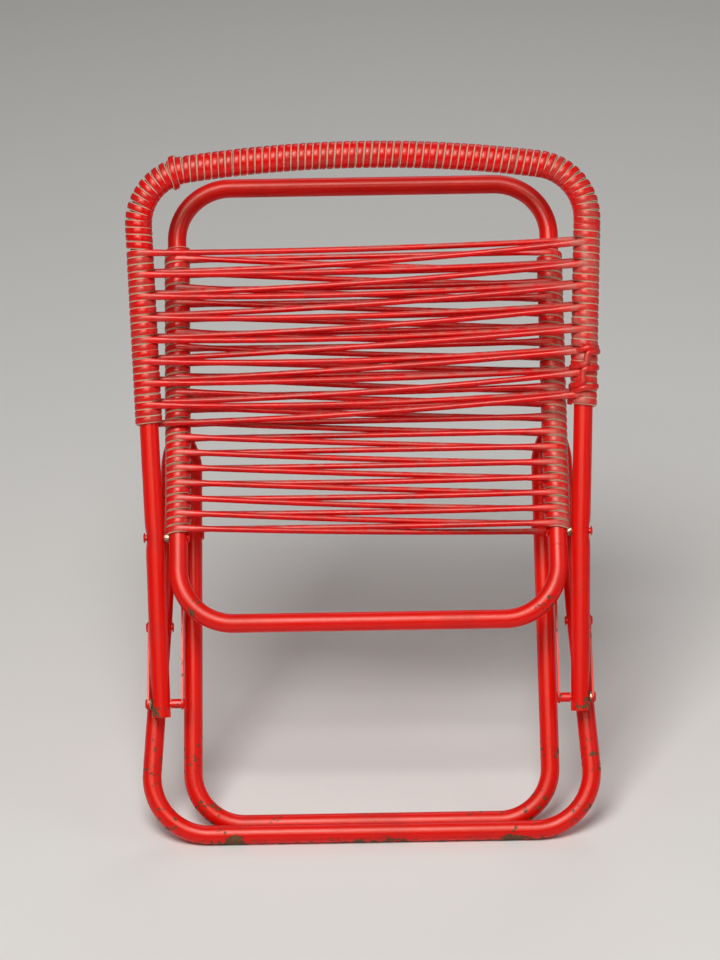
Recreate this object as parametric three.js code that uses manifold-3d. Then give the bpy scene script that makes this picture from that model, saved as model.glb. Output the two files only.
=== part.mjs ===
// A folding patio chair of bent steel tube, wound and strung with hollow PVC cord.
// It stands folded flat on its two foot bars and leans back, as against a wall. The back frame is at
// the front, the seat frame leans away behind its cords, and both leg frames hang behind the seat.
// Millimetres. +Z is up, +X is to the right and +Y points away from the front of the folded chair.
// Every piece is placed in the upright chair first, and then the whole chair is leaned back.
import * as THREE from 'three';
import { mergeVertices } from 'three/addons/utils/BufferGeometryUtils.js';
import Module from 'manifold-3d';

const wasm = await Module();
wasm.setup();

// Driving dimensions of the steel tube
const TUBE_RADIUS = 9.5;
const TUBE_WALL = 1.2;
const TUBE_SIDES = 12;
const BORE_SIDES = 8;
const BEND_SAG = 0.4;
const FIT_GAP = 0.3;
const CUT_OVERRUN = 4;

// Heights of the pivots that the folded chair stacks one above the other
const BACK_PIVOT_HEIGHT = 308;
const LINK_PIN_DROP = 166;
const OUTER_LINK_RIVET_DROP = 91;
const INNER_LINK_RIVET_RISE = 1.5;

// Half the seat's width between its tubes, which all other widths follow
const SEAT_HALF_WIDTH = 189.5;

// Back frame: an upside-down U with an arched top bar
const BACK_TOP_HEIGHT = 688;
const BACK_BESIDE_SEAT = 23.5;
const BACK_FLARE_TO_CORNER = 13;
const BACK_TAPER_TO_END = 3.5;
const BACK_END_BELOW_PIN = 13.5;
const BACK_ARCH_RADIUS = 1280;
const BACK_CORNER_RADIUS = 55;
const BACK_SIDE_BEND_RADIUS = 500;

// Seat frame: a closed loop with round corners, measured from the back pivot
const SEAT_FRONT_REACH = 365;
const SEAT_REAR_REACH = 88.5;
const SEAT_CORNER_RADIUS = 55;
const SEAT_LEAN = THREE.MathUtils.degToRad(13.5);
const SEAM_BEHIND_PIVOT = 15;
const PLUG_LENGTH = 26;

// Leg frames: two U shapes on one pivot under the seat's side tubes
const LEG_PIVOT_REACH = 156;
const LEG_PIVOT_DEPTH = 26;
const OUTER_LEG_FOOT_SETBACK = 8.5;
const FOOT_BAR_SPACING = 18;
const INNER_FOOT_RISE = 8.4;
const LEAN_BACK = Math.atan2(INNER_FOOT_RISE, FOOT_BAR_SPACING);
const OUTER_LEG_WAIST_DROP = 78;
const OUTER_LEG_KNEE_DROP = 228;
const OUTER_LEG_CORNER_RADIUS = 58;
const INNER_LEG_WAIST_DROP = 78;
const INNER_LEG_CORNER_RADIUS = 52;
const LEG_KNEE_BEND_RADIUS = 260;

// How far the legs stand outside or inside the seat's side tubes
const OUTER_WAIST_BESIDE_SEAT = 9.5;
const OUTER_KNEE_BESIDE_SEAT = 18.5;
const OUTER_FOOT_BESIDE_SEAT = 36;
const INNER_WAIST_INSIDE_SEAT = 13;
const INNER_FOOT_INSIDE_SEAT = 9;

// Flattened ends of the legs and the brackets that hold them
const FLAT_THICKNESS = 4;
const FLAT_HALF_WIDTH = 11;
const FLATTENING_LENGTH = 60;
const FLAT_STRAIGHT = 16;
const BRACKET_THICKNESS = 2.5;
const BRACKET_NECK_WIDTH = 7;
const BRACKET_LUG_RADIUS = 10;

// Links, rivets and their spacers
const LINK_THICKNESS = 2;
const LINK_HALF_WIDTH = 6;
const OUTER_LINK_BESIDE_BACK_END = 12.8;
const INNER_LINK_INSIDE_SEAT = 1.2;
const RIVET_RADIUS = 3;
const RIVET_HEAD_RADIUS = 5.5;
const RIVET_HEAD_HEIGHT = 1.6;
const SPACER_RADIUS = 4.8;
const ROUND_SIDES = 12;

// Cord: close turns on the tubes, and a panel of crossing cord between them
const WINDING_THICKNESS = 3.5;
const CORD_PANEL_THICKNESS = 4;

// Cord of the back, measured upwards from the back pivot
const BACK_LEFT_WINDING_START = 110;
const BACK_RIGHT_WINDING_START = 125;
const BACK_PANEL_START = 125;
const BACK_PANEL_BELOW_TOP = 84;

// Cord of the seat, measured forwards from the back pivot
const SEAT_PANEL_START = 6.4;
const SEAT_PANEL_END = 282;
const SEAT_WINDING_END = 285;
const BRACKET_CLEARANCE = 2;

// Places that follow from the sizes above
const BACK_PIVOT_HALF_WIDTH = SEAT_HALF_WIDTH + BACK_BESIDE_SEAT;
const BACK_CORNER_HALF_WIDTH = BACK_PIVOT_HALF_WIDTH + BACK_FLARE_TO_CORNER;
const BACK_END_HALF_WIDTH = BACK_PIVOT_HALF_WIDTH - BACK_TAPER_TO_END;
const OUTER_LEG_WAIST_HALF_WIDTH = SEAT_HALF_WIDTH + OUTER_WAIST_BESIDE_SEAT;
const OUTER_LEG_KNEE_HALF_WIDTH = SEAT_HALF_WIDTH + OUTER_KNEE_BESIDE_SEAT;
const OUTER_LEG_FOOT_HALF_WIDTH = SEAT_HALF_WIDTH + OUTER_FOOT_BESIDE_SEAT;
const INNER_LEG_WAIST_HALF_WIDTH = SEAT_HALF_WIDTH - INNER_WAIST_INSIDE_SEAT;
const INNER_LEG_FOOT_HALF_WIDTH = SEAT_HALF_WIDTH - INNER_FOOT_INSIDE_SEAT;
const OUTER_LINK_HALF_SPREAD = BACK_END_HALF_WIDTH + OUTER_LINK_BESIDE_BACK_END;
const INNER_LINK_HALF_SPREAD = SEAT_HALF_WIDTH - INNER_LINK_INSIDE_SEAT;
const BACK_PANEL_END_HEIGHT = BACK_TOP_HEIGHT - BACK_PANEL_BELOW_TOP;
const TUBE_BORE = TUBE_RADIUS - TUBE_WALL;
const FLAT_OF_TUBE = TUBE_RADIUS * Math.cos(Math.PI / TUBE_SIDES);
const seatPoint = (reach, depth) => ({
  y: reach * Math.sin(SEAT_LEAN) + depth * Math.cos(SEAT_LEAN),
  z: BACK_PIVOT_HEIGHT + reach * Math.cos(SEAT_LEAN) - depth * Math.sin(SEAT_LEAN),
});
const backPivot = { y: 0, z: BACK_PIVOT_HEIGHT };
const linkPin = { y: 0, z: BACK_PIVOT_HEIGHT - LINK_PIN_DROP };
const legPivot = seatPoint(LEG_PIVOT_REACH, LEG_PIVOT_DEPTH);
const outerFoot = { y: OUTER_LEG_FOOT_SETBACK, z: FLAT_OF_TUBE };
const innerFoot = { y: OUTER_LEG_FOOT_SETBACK + FOOT_BAR_SPACING, z: FLAT_OF_TUBE + INNER_FOOT_RISE };
const lineAtHeight = (top, foot, z) => ({ y: top.y + (foot.y - top.y) * (top.z - z) / (top.z - foot.z), z });
const outerLinkRivet = lineAtHeight(legPivot, outerFoot, BACK_PIVOT_HEIGHT - OUTER_LINK_RIVET_DROP);
const innerLinkRivet = lineAtHeight(legPivot, innerFoot, BACK_PIVOT_HEIGHT + INNER_LINK_RIVET_RISE);
const reachBetween = (a, b) => Math.hypot(a.y - b.y, a.z - b.z);
const leanBetween = (top, foot) => Math.atan2(top.y - foot.y, top.z - foot.z);
const OUTER_FLAT_CENTRE = SEAT_HALF_WIDTH + (BRACKET_THICKNESS + FLAT_THICKNESS) / 2 + FIT_GAP;
const INNER_FLAT_CENTRE = SEAT_HALF_WIDTH - (BRACKET_THICKNESS + FLAT_THICKNESS) / 2 - FIT_GAP;

// Finishes
const finish = (color, roughness, metalness) => {
  return () => new THREE.MeshStandardMaterial({ color, roughness, metalness });
};
const redEnamel = finish(0xd40f0a, 0.3, 0);
const bareSteel = finish(0x8d7a63, 0.55, 0.8);
const redCord = finish(0xd8101c, 0.35, 0);

// A path given by the places of its rings, so that bends get many rings and straights get few
class RingPath extends THREE.Curve {
  constructor(points) {
    super();
    this.points = points;
  }

  getPointAt(share, target = new THREE.Vector3()) {
    return target.copy(this.points[Math.round(share * (this.points.length - 1))]);
  }

  getTangentAt(share, target = new THREE.Vector3()) {
    const last = this.points.length - 1;
    const ring = Math.round(share * last);
    const ahead = this.points[Math.min(ring + 1, last)].clone().sub(this.points[ring]).normalize();
    const behind = this.points[ring].clone().sub(this.points[Math.max(ring - 1, 0)]).normalize();
    return target.copy(ahead).add(behind).normalize();
  }
}

// Corner points joined by straights, each corner rounded by an arc of its own radius
function bentPath(corners) {
  const places = corners.map(([x, z]) => new THREE.Vector3(x, 0, z));
  const rings = [places[0]];
  for (let i = 1; i < places.length - 1; i++) {
    const into = places[i].clone().sub(places[i - 1]).normalize();
    const out = places[i + 1].clone().sub(places[i]).normalize();
    const turn = into.angleTo(out);
    const radius = corners[i][2];
    const bendSteps = Math.max(2, Math.round(turn / Math.sqrt(8 * BEND_SAG / radius)));
    const tangentLength = radius * Math.tan(turn / 2);
    const start = places[i].clone().addScaledVector(into, -tangentLength);
    const toCentre = out.clone().sub(into.clone().multiplyScalar(into.dot(out))).normalize();
    const centre = start.clone().addScaledVector(toCentre, radius);
    for (let step = 0; step <= bendSteps; step++) {
      const angle = turn * step / bendSteps;
      const ring = centre.clone().addScaledVector(toCentre, -radius * Math.cos(angle));
      rings.push(ring.addScaledVector(into, radius * Math.sin(angle)));
    }
  }
  rings.push(places[places.length - 1]);
  return rings;
}

// A polygon with a flat on each axis, turned by an angle
function polygon(radius, sides, turn, Kind) {
  const outline = new Kind();
  for (let i = 0; i <= sides; i++) {
    const angle = turn + (i + 0.5) * 2 * Math.PI / sides;
    const place = [radius * Math.cos(angle), radius * Math.sin(angle)];
    if (i === 0) outline.moveTo(...place);
    else outline.lineTo(...place);
  }
  return outline;
}

function hollowTube(rings, outerRadius, innerRadius, boreSides = BORE_SIDES, turn = 0) {
  const section = polygon(outerRadius, TUBE_SIDES, turn, THREE.Shape);
  section.holes.push(polygon(innerRadius, boreSides, turn, THREE.Path));
  const options = { steps: rings.length - 1, bevelEnabled: false, extrudePath: new RingPath(rings) };
  return new THREE.ExtrudeGeometry(section, options);
}

// Conversions between a geometry and a solid that can be cut and joined
function toSolid(geometry) {
  const bare = geometry.clone();
  bare.deleteAttribute('normal');
  bare.deleteAttribute('uv');
  const merged = mergeVertices(bare, 1e-4);
  const triVerts = new Uint32Array(merged.index.array);
  const vertProperties = new Float32Array(merged.attributes.position.array);
  return new wasm.Manifold(new wasm.Mesh({ numProp: 3, vertProperties, triVerts }));
}

function toGeometry(solid) {
  const mesh = solid.getMesh();
  const geometry = new THREE.BufferGeometry();
  geometry.setAttribute('position', new THREE.BufferAttribute(new Float32Array(mesh.vertProperties), 3));
  geometry.setIndex(Array.from(mesh.triVerts));
  geometry.computeVertexNormals();
  return geometry;
}

// A round bar along X between two places
function barAlongX(radius, fromX, toX, y, z, sides = ROUND_SIDES) {
  const bar = new THREE.CylinderGeometry(radius, radius, toX - fromX, sides);
  bar.rotateZ(-Math.PI / 2);
  bar.translate((fromX + toX) / 2, y, z);
  return bar;
}

// Drills round holes along X through the geometry, on both sides of the chair
function drill(geometry, places) {
  let solid = toSolid(geometry);
  for (const { y, z, centreX, halfLength } of places) {
    for (const side of [-1, 1]) {
      const fromX = side * centreX - halfLength;
      const toX = side * centreX + halfLength;
      const drillBar = barAlongX(RIVET_RADIUS + FIT_GAP, fromX, toX, y, z);
      solid = solid.subtract(toSolid(drillBar));
    }
  }
  return toGeometry(solid);
}

function named(name, geometry, material) {
  const mesh = new THREE.Mesh(geometry, material());
  mesh.name = name;
  return mesh;
}

// A plain turned piece along X: a ring where it has a bore, otherwise a solid round
function turnedPiece(profile) {
  const points = profile.map(([radius, x]) => new THREE.Vector2(radius, x));
  const piece = new THREE.LatheGeometry(points, ROUND_SIDES);
  piece.rotateZ(-Math.PI / 2);
  return piece;
}

// A rivet from a head at one X to a head at a larger X, with a domed outer head
function rivet(fromX, toX, y, z) {
  const dome = RIVET_HEAD_RADIUS - RIVET_HEAD_HEIGHT;
  const piece = turnedPiece([
    [0, fromX],
    [dome, fromX],
    [RIVET_HEAD_RADIUS, fromX + RIVET_HEAD_HEIGHT],
    [RIVET_RADIUS, fromX + RIVET_HEAD_HEIGHT],
    [RIVET_RADIUS, toX - RIVET_HEAD_HEIGHT],
    [RIVET_HEAD_RADIUS, toX - RIVET_HEAD_HEIGHT],
    [dome, toX],
    [0, toX],
  ]);
  piece.translate(0, y, z);
  return piece;
}

// A rivet with one head, whose plain end stops inside a hole
function stubRivet(headX, plainX, y, z) {
  const inward = Math.sign(plainX - headX);
  const dome = RIVET_HEAD_RADIUS - RIVET_HEAD_HEIGHT;
  const profile = [
    [0, headX],
    [dome, headX],
    [RIVET_HEAD_RADIUS, headX + inward * RIVET_HEAD_HEIGHT],
    [RIVET_RADIUS, headX + inward * RIVET_HEAD_HEIGHT],
    [RIVET_RADIUS, plainX],
    [0, plainX],
  ];
  const piece = turnedPiece(inward > 0 ? profile : profile.reverse());
  piece.translate(0, y, z);
  return piece;
}

function spacerRing(fromX, toX, y, z, radius = SPACER_RADIUS) {
  const bore = RIVET_RADIUS + FIT_GAP;
  const piece = turnedPiece([[bore, fromX], [radius, fromX], [radius, toX], [bore, toX], [bore, fromX]]);
  piece.translate(0, y, z);
  return piece;
}

// Turns a piece made for the right side into the same piece for the left side
function onSide(side, geometry) {
  if (side > 0) return geometry;
  const mirrored = toGeometry(toSolid(geometry).mirror([1, 0, 0]));
  return mirrored;
}

const SIDES = [{ side: -1, word: 'left' }, { side: 1, word: 'right' }];

// Back frame

const ARCH_END_ANGLE = Math.asin((BACK_CORNER_HALF_WIDTH - BACK_CORNER_RADIUS) / BACK_ARCH_RADIUS);
const ARCH_PEAK = BACK_TOP_HEIGHT + BACK_ARCH_RADIUS * (1 / Math.cos(ARCH_END_ANGLE) - 1);
const BACK_CORNER_HEIGHT = ARCH_PEAK - BACK_CORNER_HALF_WIDTH * Math.tan(ARCH_END_ANGLE);
const BACK_END_HEIGHT = linkPin.z - BACK_END_BELOW_PIN;

// Half the distance between the back's side tubes, at a height above the back pivot
function backHalfWidthAt(height) {
  const share = (height - BACK_PIVOT_HEIGHT) / (BACK_CORNER_HEIGHT - BACK_PIVOT_HEIGHT);
  return BACK_PIVOT_HALF_WIDTH + (BACK_CORNER_HALF_WIDTH - BACK_PIVOT_HALF_WIDTH) * share;
}

function backPath(lowestHeight) {
  const foot = lowestHeight < BACK_PIVOT_HEIGHT
    ? [[BACK_END_HALF_WIDTH, lowestHeight], [BACK_PIVOT_HALF_WIDTH, BACK_PIVOT_HEIGHT, BACK_SIDE_BEND_RADIUS]]
    : [[backHalfWidthAt(lowestHeight), lowestHeight]];
  const corner = [BACK_CORNER_HALF_WIDTH, BACK_CORNER_HEIGHT, BACK_CORNER_RADIUS];
  const rightSide = [...foot, corner];
  const leftSide = rightSide.map(([x, z, radius]) => [-x, z, radius]);
  return bentPath([...leftSide, [0, ARCH_PEAK, BACK_ARCH_RADIUS], ...rightSide.reverse()]);
}

function makeBackFrame() {
  const tube = hollowTube(backPath(BACK_END_HEIGHT), TUBE_RADIUS, TUBE_BORE);
  const halfLength = TUBE_RADIUS + CUT_OVERRUN;
  const drilled = drill(tube, [
    { ...backPivot, centreX: BACK_PIVOT_HALF_WIDTH, halfLength },
    { ...linkPin, centreX: BACK_END_HALF_WIDTH, halfLength },
  ]);
  return named('back_frame_tube', drilled, redEnamel);
}

// Seat frame, in its own place: Z runs along the seat from the back pivot to the front

const seatCorner = (sideX, z) => [sideX * SEAT_HALF_WIDTH, z, SEAT_CORNER_RADIUS];

function makeSeatFrame() {
  const rings = bentPath([
    [SEAT_HALF_WIDTH, -SEAM_BEHIND_PIVOT - FIT_GAP],
    seatCorner(1, -SEAT_REAR_REACH),
    seatCorner(-1, -SEAT_REAR_REACH),
    seatCorner(-1, SEAT_FRONT_REACH),
    seatCorner(1, SEAT_FRONT_REACH),
    [SEAT_HALF_WIDTH, -SEAM_BEHIND_PIVOT],
  ]);
  const tube = hollowTube(rings, TUBE_RADIUS, TUBE_BORE);
  const halfLength = TUBE_RADIUS + CUT_OVERRUN;
  const drilled = drill(tube, [{ y: 0, z: 0, centreX: SEAT_HALF_WIDTH, halfLength }]);
  return named('seat_frame_tube', drilled, redEnamel);
}

function makeJoiningPlug() {
  const radius = TUBE_BORE * Math.cos(Math.PI / BORE_SIDES) - FIT_GAP;
  const plug = new THREE.CylinderGeometry(radius, radius, PLUG_LENGTH, ROUND_SIDES);
  plug.rotateX(Math.PI / 2);
  const centre = -RIVET_RADIUS - 2 * FIT_GAP - PLUG_LENGTH / 2;
  plug.translate(SEAT_HALF_WIDTH, 0, centre);
  return named('seat_joining_plug', plug, bareSteel);
}

// A plate under the side tube: a narrow neck between two cords, then a round lug at the leg pivot
function bracketOutline() {
  const neck = BRACKET_NECK_WIDTH / 2;
  const lugStart = Math.acos(neck / BRACKET_LUG_RADIUS);
  const outline = new THREE.Shape();
  outline.moveTo(neck, TUBE_RADIUS + FIT_GAP);
  outline.absarc(0, LEG_PIVOT_DEPTH, BRACKET_LUG_RADIUS, -lugStart, Math.PI + lugStart, false);
  outline.lineTo(-neck, TUBE_RADIUS + FIT_GAP);
  outline.closePath();
  const hole = new THREE.Path();
  hole.absarc(0, LEG_PIVOT_DEPTH, RIVET_RADIUS + FIT_GAP, 0, 2 * Math.PI, true);
  outline.holes.push(hole);
  return outline;
}

function makeBracket({ side, word }) {
  const plate = new THREE.ExtrudeGeometry(bracketOutline(), {
    depth: BRACKET_THICKNESS, bevelEnabled: false, curveSegments: ROUND_SIDES,
  });
  // The outline's X becomes the seat's length, its Y the depth under the seat
  plate.applyMatrix4(new THREE.Matrix4().makeBasis(
    new THREE.Vector3(0, 0, 1), new THREE.Vector3(0, 1, 0), new THREE.Vector3(-1, 0, 0)));
  plate.translate(side * SEAT_HALF_WIDTH + BRACKET_THICKNESS / 2, 0, LEG_PIVOT_REACH);
  return named(`leg_bracket_${word}`, plate, redEnamel);
}

function makeSeatGroup() {
  const group = new THREE.Group();
  group.position.set(0, backPivot.y, backPivot.z);
  group.rotation.x = -SEAT_LEAN;
  group.add(makeSeatFrame(), makeJoiningPlug());
  for (const sideOf of SIDES) group.add(makeBracket(sideOf));
  group.add(makeSeatCordPanel());
  for (const sideOf of SIDES) group.add(...makeSeatWindings(sideOf));
  return group;
}

// Leg frames, in their own places: the leg pivot is the origin and the legs hang down

// Presses the round tube flat towards its top end and widens it, smoothly over a length
function flattenTop(geometry, flatCentre) {
  const places = geometry.attributes.position;
  const flatFrom = -FLAT_STRAIGHT;
  const roundBelow = flatFrom - FLATTENING_LENGTH;
  for (let i = 0; i < places.count; i++) {
    const z = places.getZ(i);
    const share = THREE.MathUtils.smoothstep(z, roundBelow, flatFrom);
    const side = Math.sign(places.getX(i));
    const sideCentre = legCentreAt(geometry.userData.sideLine, z);
    const offset = side * places.getX(i) - sideCentre;
    const squash = THREE.MathUtils.lerp(1, FLAT_THICKNESS / (2 * TUBE_RADIUS), share);
    const centre = THREE.MathUtils.lerp(sideCentre, flatCentre, share);
    places.setX(i, side * (centre + offset * squash));
    places.setY(i, places.getY(i) * THREE.MathUtils.lerp(1, FLAT_HALF_WIDTH / TUBE_RADIUS, share));
  }
  return geometry;
}

// The side tube's centre line as [half width, height] pairs from the top down
function legCentreAt(line, z) {
  let i = 0;
  while (i < line.length - 2 && z < line[i + 1][1]) i++;
  const [[x0, z0], [x1, z1]] = [line[i], line[i + 1]];
  return x0 + (x1 - x0) * (z0 - z) / (z0 - z1);
}

// Rounds the flattened end about the leg pivot and drills it
function roundEnd(solid, flatCentre) {
  let result = solid;
  for (const side of [-1, 1]) {
    const fromX = side * flatCentre - FLAT_THICKNESS;
    const toX = side * flatCentre + FLAT_THICKNESS;
    const blockDepth = 2 * (TUBE_RADIUS + CUT_OVERRUN);
    const block = new THREE.BoxGeometry(2 * FLAT_THICKNESS, blockDepth, 2 * TUBE_RADIUS);
    block.translate(side * flatCentre, 0, TUBE_RADIUS);
    const kept = barAlongX(FLAT_HALF_WIDTH, fromX - CUT_OVERRUN, toX + CUT_OVERRUN, 0, 0, 2 * ROUND_SIDES);
    const hole = barAlongX(RIVET_RADIUS + FIT_GAP, fromX, toX, 0, 0);
    result = result.subtract(toSolid(block).subtract(toSolid(kept))).subtract(toSolid(hole));
  }
  return result;
}

function makeLeg({ name, line, cornerRadius, flatCentre, footTurn, rivetPlace, rivetCentre }) {
  const [topWidth] = line[0];
  const endZ = FLAT_HALF_WIDTH;
  const flatSteps = [0.2, 0.4, 0.6, 0.8].map((share) => {
    const z = -FLAT_STRAIGHT - FLATTENING_LENGTH * share;
    return [legCentreAt(line, z), z];
  }).reverse();
  const foot = line[line.length - 1];
  const knees = line.slice(1, -1).map(([x, z]) => [x, z, LEG_KNEE_BEND_RADIUS]);
  const turned = bentPath([
    line[0],
    ...knees,
    [foot[0], foot[1], cornerRadius],
    [-foot[0], foot[1], cornerRadius],
    ...knees.map(([x, z, radius]) => [-x, z, radius]).reverse(),
    [-topWidth, line[0][1]],
  ]);
  // Rings of the flattened stretch, and one at its end just past the pivot
  const endRings = (side) => [...flatSteps, [topWidth, -FLAT_STRAIGHT], [topWidth, endZ]]
    .map(([width, z]) => new THREE.Vector3(side * width, 0, z));
  const middle = turned.filter((ring) => ring.z < -FLAT_STRAIGHT - FLATTENING_LENGTH + FIT_GAP);
  const rings = [...endRings(1).reverse(), ...middle, ...endRings(-1)];
  const tube = hollowTube(rings, TUBE_RADIUS, TUBE_BORE, BORE_SIDES, -footTurn - LEAN_BACK);
  tube.userData.sideLine = line;
  const flattened = roundEnd(toSolid(flattenTop(tube, flatCentre)), flatCentre);
  const halfLength = TUBE_RADIUS + CUT_OVERRUN;
  const drilled = drill(toGeometry(flattened), [{ ...rivetPlace, centreX: rivetCentre, halfLength }]);
  return named(name, drilled, redEnamel);
}

function legGroup(foot, mesh) {
  const group = new THREE.Group();
  group.position.set(0, legPivot.y, legPivot.z);
  group.rotation.x = -leanBetween(legPivot, foot);
  group.add(mesh);
  return group;
}

const OUTER_LEG_LENGTH = reachBetween(legPivot, outerFoot);
const INNER_LEG_LENGTH = reachBetween(legPivot, innerFoot);
const OUTER_RIVET_DROP = reachBetween(legPivot, outerLinkRivet);
const INNER_RIVET_DROP = reachBetween(legPivot, innerLinkRivet);
const outerLegLine = [
  [OUTER_LEG_WAIST_HALF_WIDTH, FLAT_HALF_WIDTH],
  [OUTER_LEG_WAIST_HALF_WIDTH, -OUTER_LEG_WAIST_DROP],
  [OUTER_LEG_KNEE_HALF_WIDTH, -OUTER_LEG_KNEE_DROP],
  [OUTER_LEG_FOOT_HALF_WIDTH, -OUTER_LEG_LENGTH],
];
const innerLegLine = [
  [INNER_LEG_WAIST_HALF_WIDTH, FLAT_HALF_WIDTH],
  [INNER_LEG_WAIST_HALF_WIDTH, -INNER_LEG_WAIST_DROP],
  [INNER_LEG_FOOT_HALF_WIDTH, -INNER_LEG_LENGTH],
];
const OUTER_RIVET_HALF_SPREAD = legCentreAt(outerLegLine, -OUTER_RIVET_DROP);
const INNER_RIVET_HALF_SPREAD = legCentreAt(innerLegLine, -INNER_RIVET_DROP);
// The outer leg leans sideways at its rivet, so the flat washer and head stand off a little more
const OUTER_LEG_SIDE_SLOPE = (OUTER_LEG_KNEE_HALF_WIDTH - OUTER_LEG_WAIST_HALF_WIDTH)
  / (OUTER_LEG_KNEE_DROP - OUTER_LEG_WAIST_DROP);
const OUTER_LEG_SLOPE_GAP = RIVET_HEAD_RADIUS * OUTER_LEG_SIDE_SLOPE;

function makeOuterLeg() {
  return legGroup(outerFoot, makeLeg({
    name: 'outer_leg_tube',
    line: outerLegLine,
    cornerRadius: OUTER_LEG_CORNER_RADIUS,
    flatCentre: OUTER_FLAT_CENTRE,
    footTurn: leanBetween(legPivot, outerFoot),
    rivetPlace: { y: 0, z: -OUTER_RIVET_DROP },
    rivetCentre: OUTER_RIVET_HALF_SPREAD,
  }));
}

function makeInnerLeg() {
  return legGroup(innerFoot, makeLeg({
    name: 'inner_leg_tube',
    line: innerLegLine,
    cornerRadius: INNER_LEG_CORNER_RADIUS,
    flatCentre: INNER_FLAT_CENTRE,
    footTurn: leanBetween(legPivot, innerFoot),
    rivetPlace: { y: 0, z: -INNER_RIVET_DROP },
    rivetCentre: INNER_RIVET_HALF_SPREAD,
  }));
}

// Pivots and links

function makeBackPivot({ side, word }) {
  const outerFace = BACK_PIVOT_HALF_WIDTH + TUBE_RADIUS + FIT_GAP;
  const innerFace = SEAT_HALF_WIDTH - TUBE_RADIUS - FIT_GAP;
  const pin = rivet(innerFace - RIVET_HEAD_HEIGHT, outerFace + RIVET_HEAD_HEIGHT, backPivot.y, backPivot.z);
  const seatFace = SEAT_HALF_WIDTH + TUBE_RADIUS + FIT_GAP;
  const backFace = BACK_PIVOT_HALF_WIDTH - TUBE_RADIUS - FIT_GAP;
  const spacer = spacerRing(seatFace, backFace, backPivot.y, backPivot.z);
  return [
    named(`back_pivot_rivet_${word}`, onSide(side, pin), redEnamel),
    named(`back_pivot_spacer_${word}`, onSide(side, spacer), bareSteel),
  ];
}

function makeLegPivot({ side, word }) {
  const outerFace = OUTER_FLAT_CENTRE + FLAT_THICKNESS / 2 + FIT_GAP;
  const innerFace = INNER_FLAT_CENTRE - FLAT_THICKNESS / 2 - FIT_GAP;
  const pin = rivet(innerFace - RIVET_HEAD_HEIGHT, outerFace + RIVET_HEAD_HEIGHT, legPivot.y, legPivot.z);
  return named(`leg_pivot_rivet_${word}`, onSide(side, pin), redEnamel);
}

// The pin through the back tube's lower end carries the outer link, a washer, a sleeve and the inner link
function makeLinkPin({ side, word }) {
  const outerLinkFace = OUTER_LINK_HALF_SPREAD + LINK_THICKNESS / 2;
  const innerLinkFace = INNER_LINK_HALF_SPREAD - LINK_THICKNESS / 2;
  const fromX = innerLinkFace - FIT_GAP - RIVET_HEAD_HEIGHT;
  const toX = outerLinkFace + FIT_GAP + RIVET_HEAD_HEIGHT;
  const pin = rivet(fromX, toX, linkPin.y, linkPin.z);
  const sleeveFrom = INNER_LINK_HALF_SPREAD + LINK_THICKNESS / 2 + FIT_GAP;
  const sleeveTo = BACK_END_HALF_WIDTH - TUBE_RADIUS - FIT_GAP;
  const sleeve = spacerRing(sleeveFrom, sleeveTo, linkPin.y, linkPin.z);
  const washerFrom = BACK_END_HALF_WIDTH + TUBE_RADIUS + FIT_GAP;
  const washerTo = OUTER_LINK_HALF_SPREAD - LINK_THICKNESS / 2 - FIT_GAP;
  const washer = spacerRing(washerFrom, washerTo, linkPin.y, linkPin.z, RIVET_HEAD_RADIUS);
  return [
    named(`link_pin_${word}`, onSide(side, pin), redEnamel),
    named(`link_sleeve_${word}`, onSide(side, sleeve), redEnamel),
    named(`link_washer_${word}`, onSide(side, washer), bareSteel),
  ];
}

// A flat bar with round ends and a hole at each end, from the link pin up to a rivet
function makeLink({ side, word }, kind, halfSpread, upper) {
  const length = reachBetween(linkPin, upper);
  const outline = new THREE.Shape();
  outline.absarc(0, 0, LINK_HALF_WIDTH, Math.PI, 2 * Math.PI, false);
  outline.absarc(0, length, LINK_HALF_WIDTH, 0, Math.PI, false);
  for (const height of [0, length]) {
    const hole = new THREE.Path();
    hole.absarc(0, height, RIVET_RADIUS + FIT_GAP, 0, 2 * Math.PI, true);
    outline.holes.push(hole);
  }
  const bar = new THREE.ExtrudeGeometry(outline, {
    depth: LINK_THICKNESS, bevelEnabled: false, curveSegments: ROUND_SIDES / 2,
  });
  // The outline's Y becomes the link's length and its X the width
  bar.applyMatrix4(new THREE.Matrix4().makeBasis(
    new THREE.Vector3(0, 1, 0), new THREE.Vector3(0, 0, 1), new THREE.Vector3(1, 0, 0)));
  const link = named(`${kind}_link_${word}`, bar, redEnamel);
  link.position.set(side * halfSpread - LINK_THICKNESS / 2, linkPin.y, linkPin.z);
  link.rotation.x = -leanBetween(upper, linkPin);
  return link;
}

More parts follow.
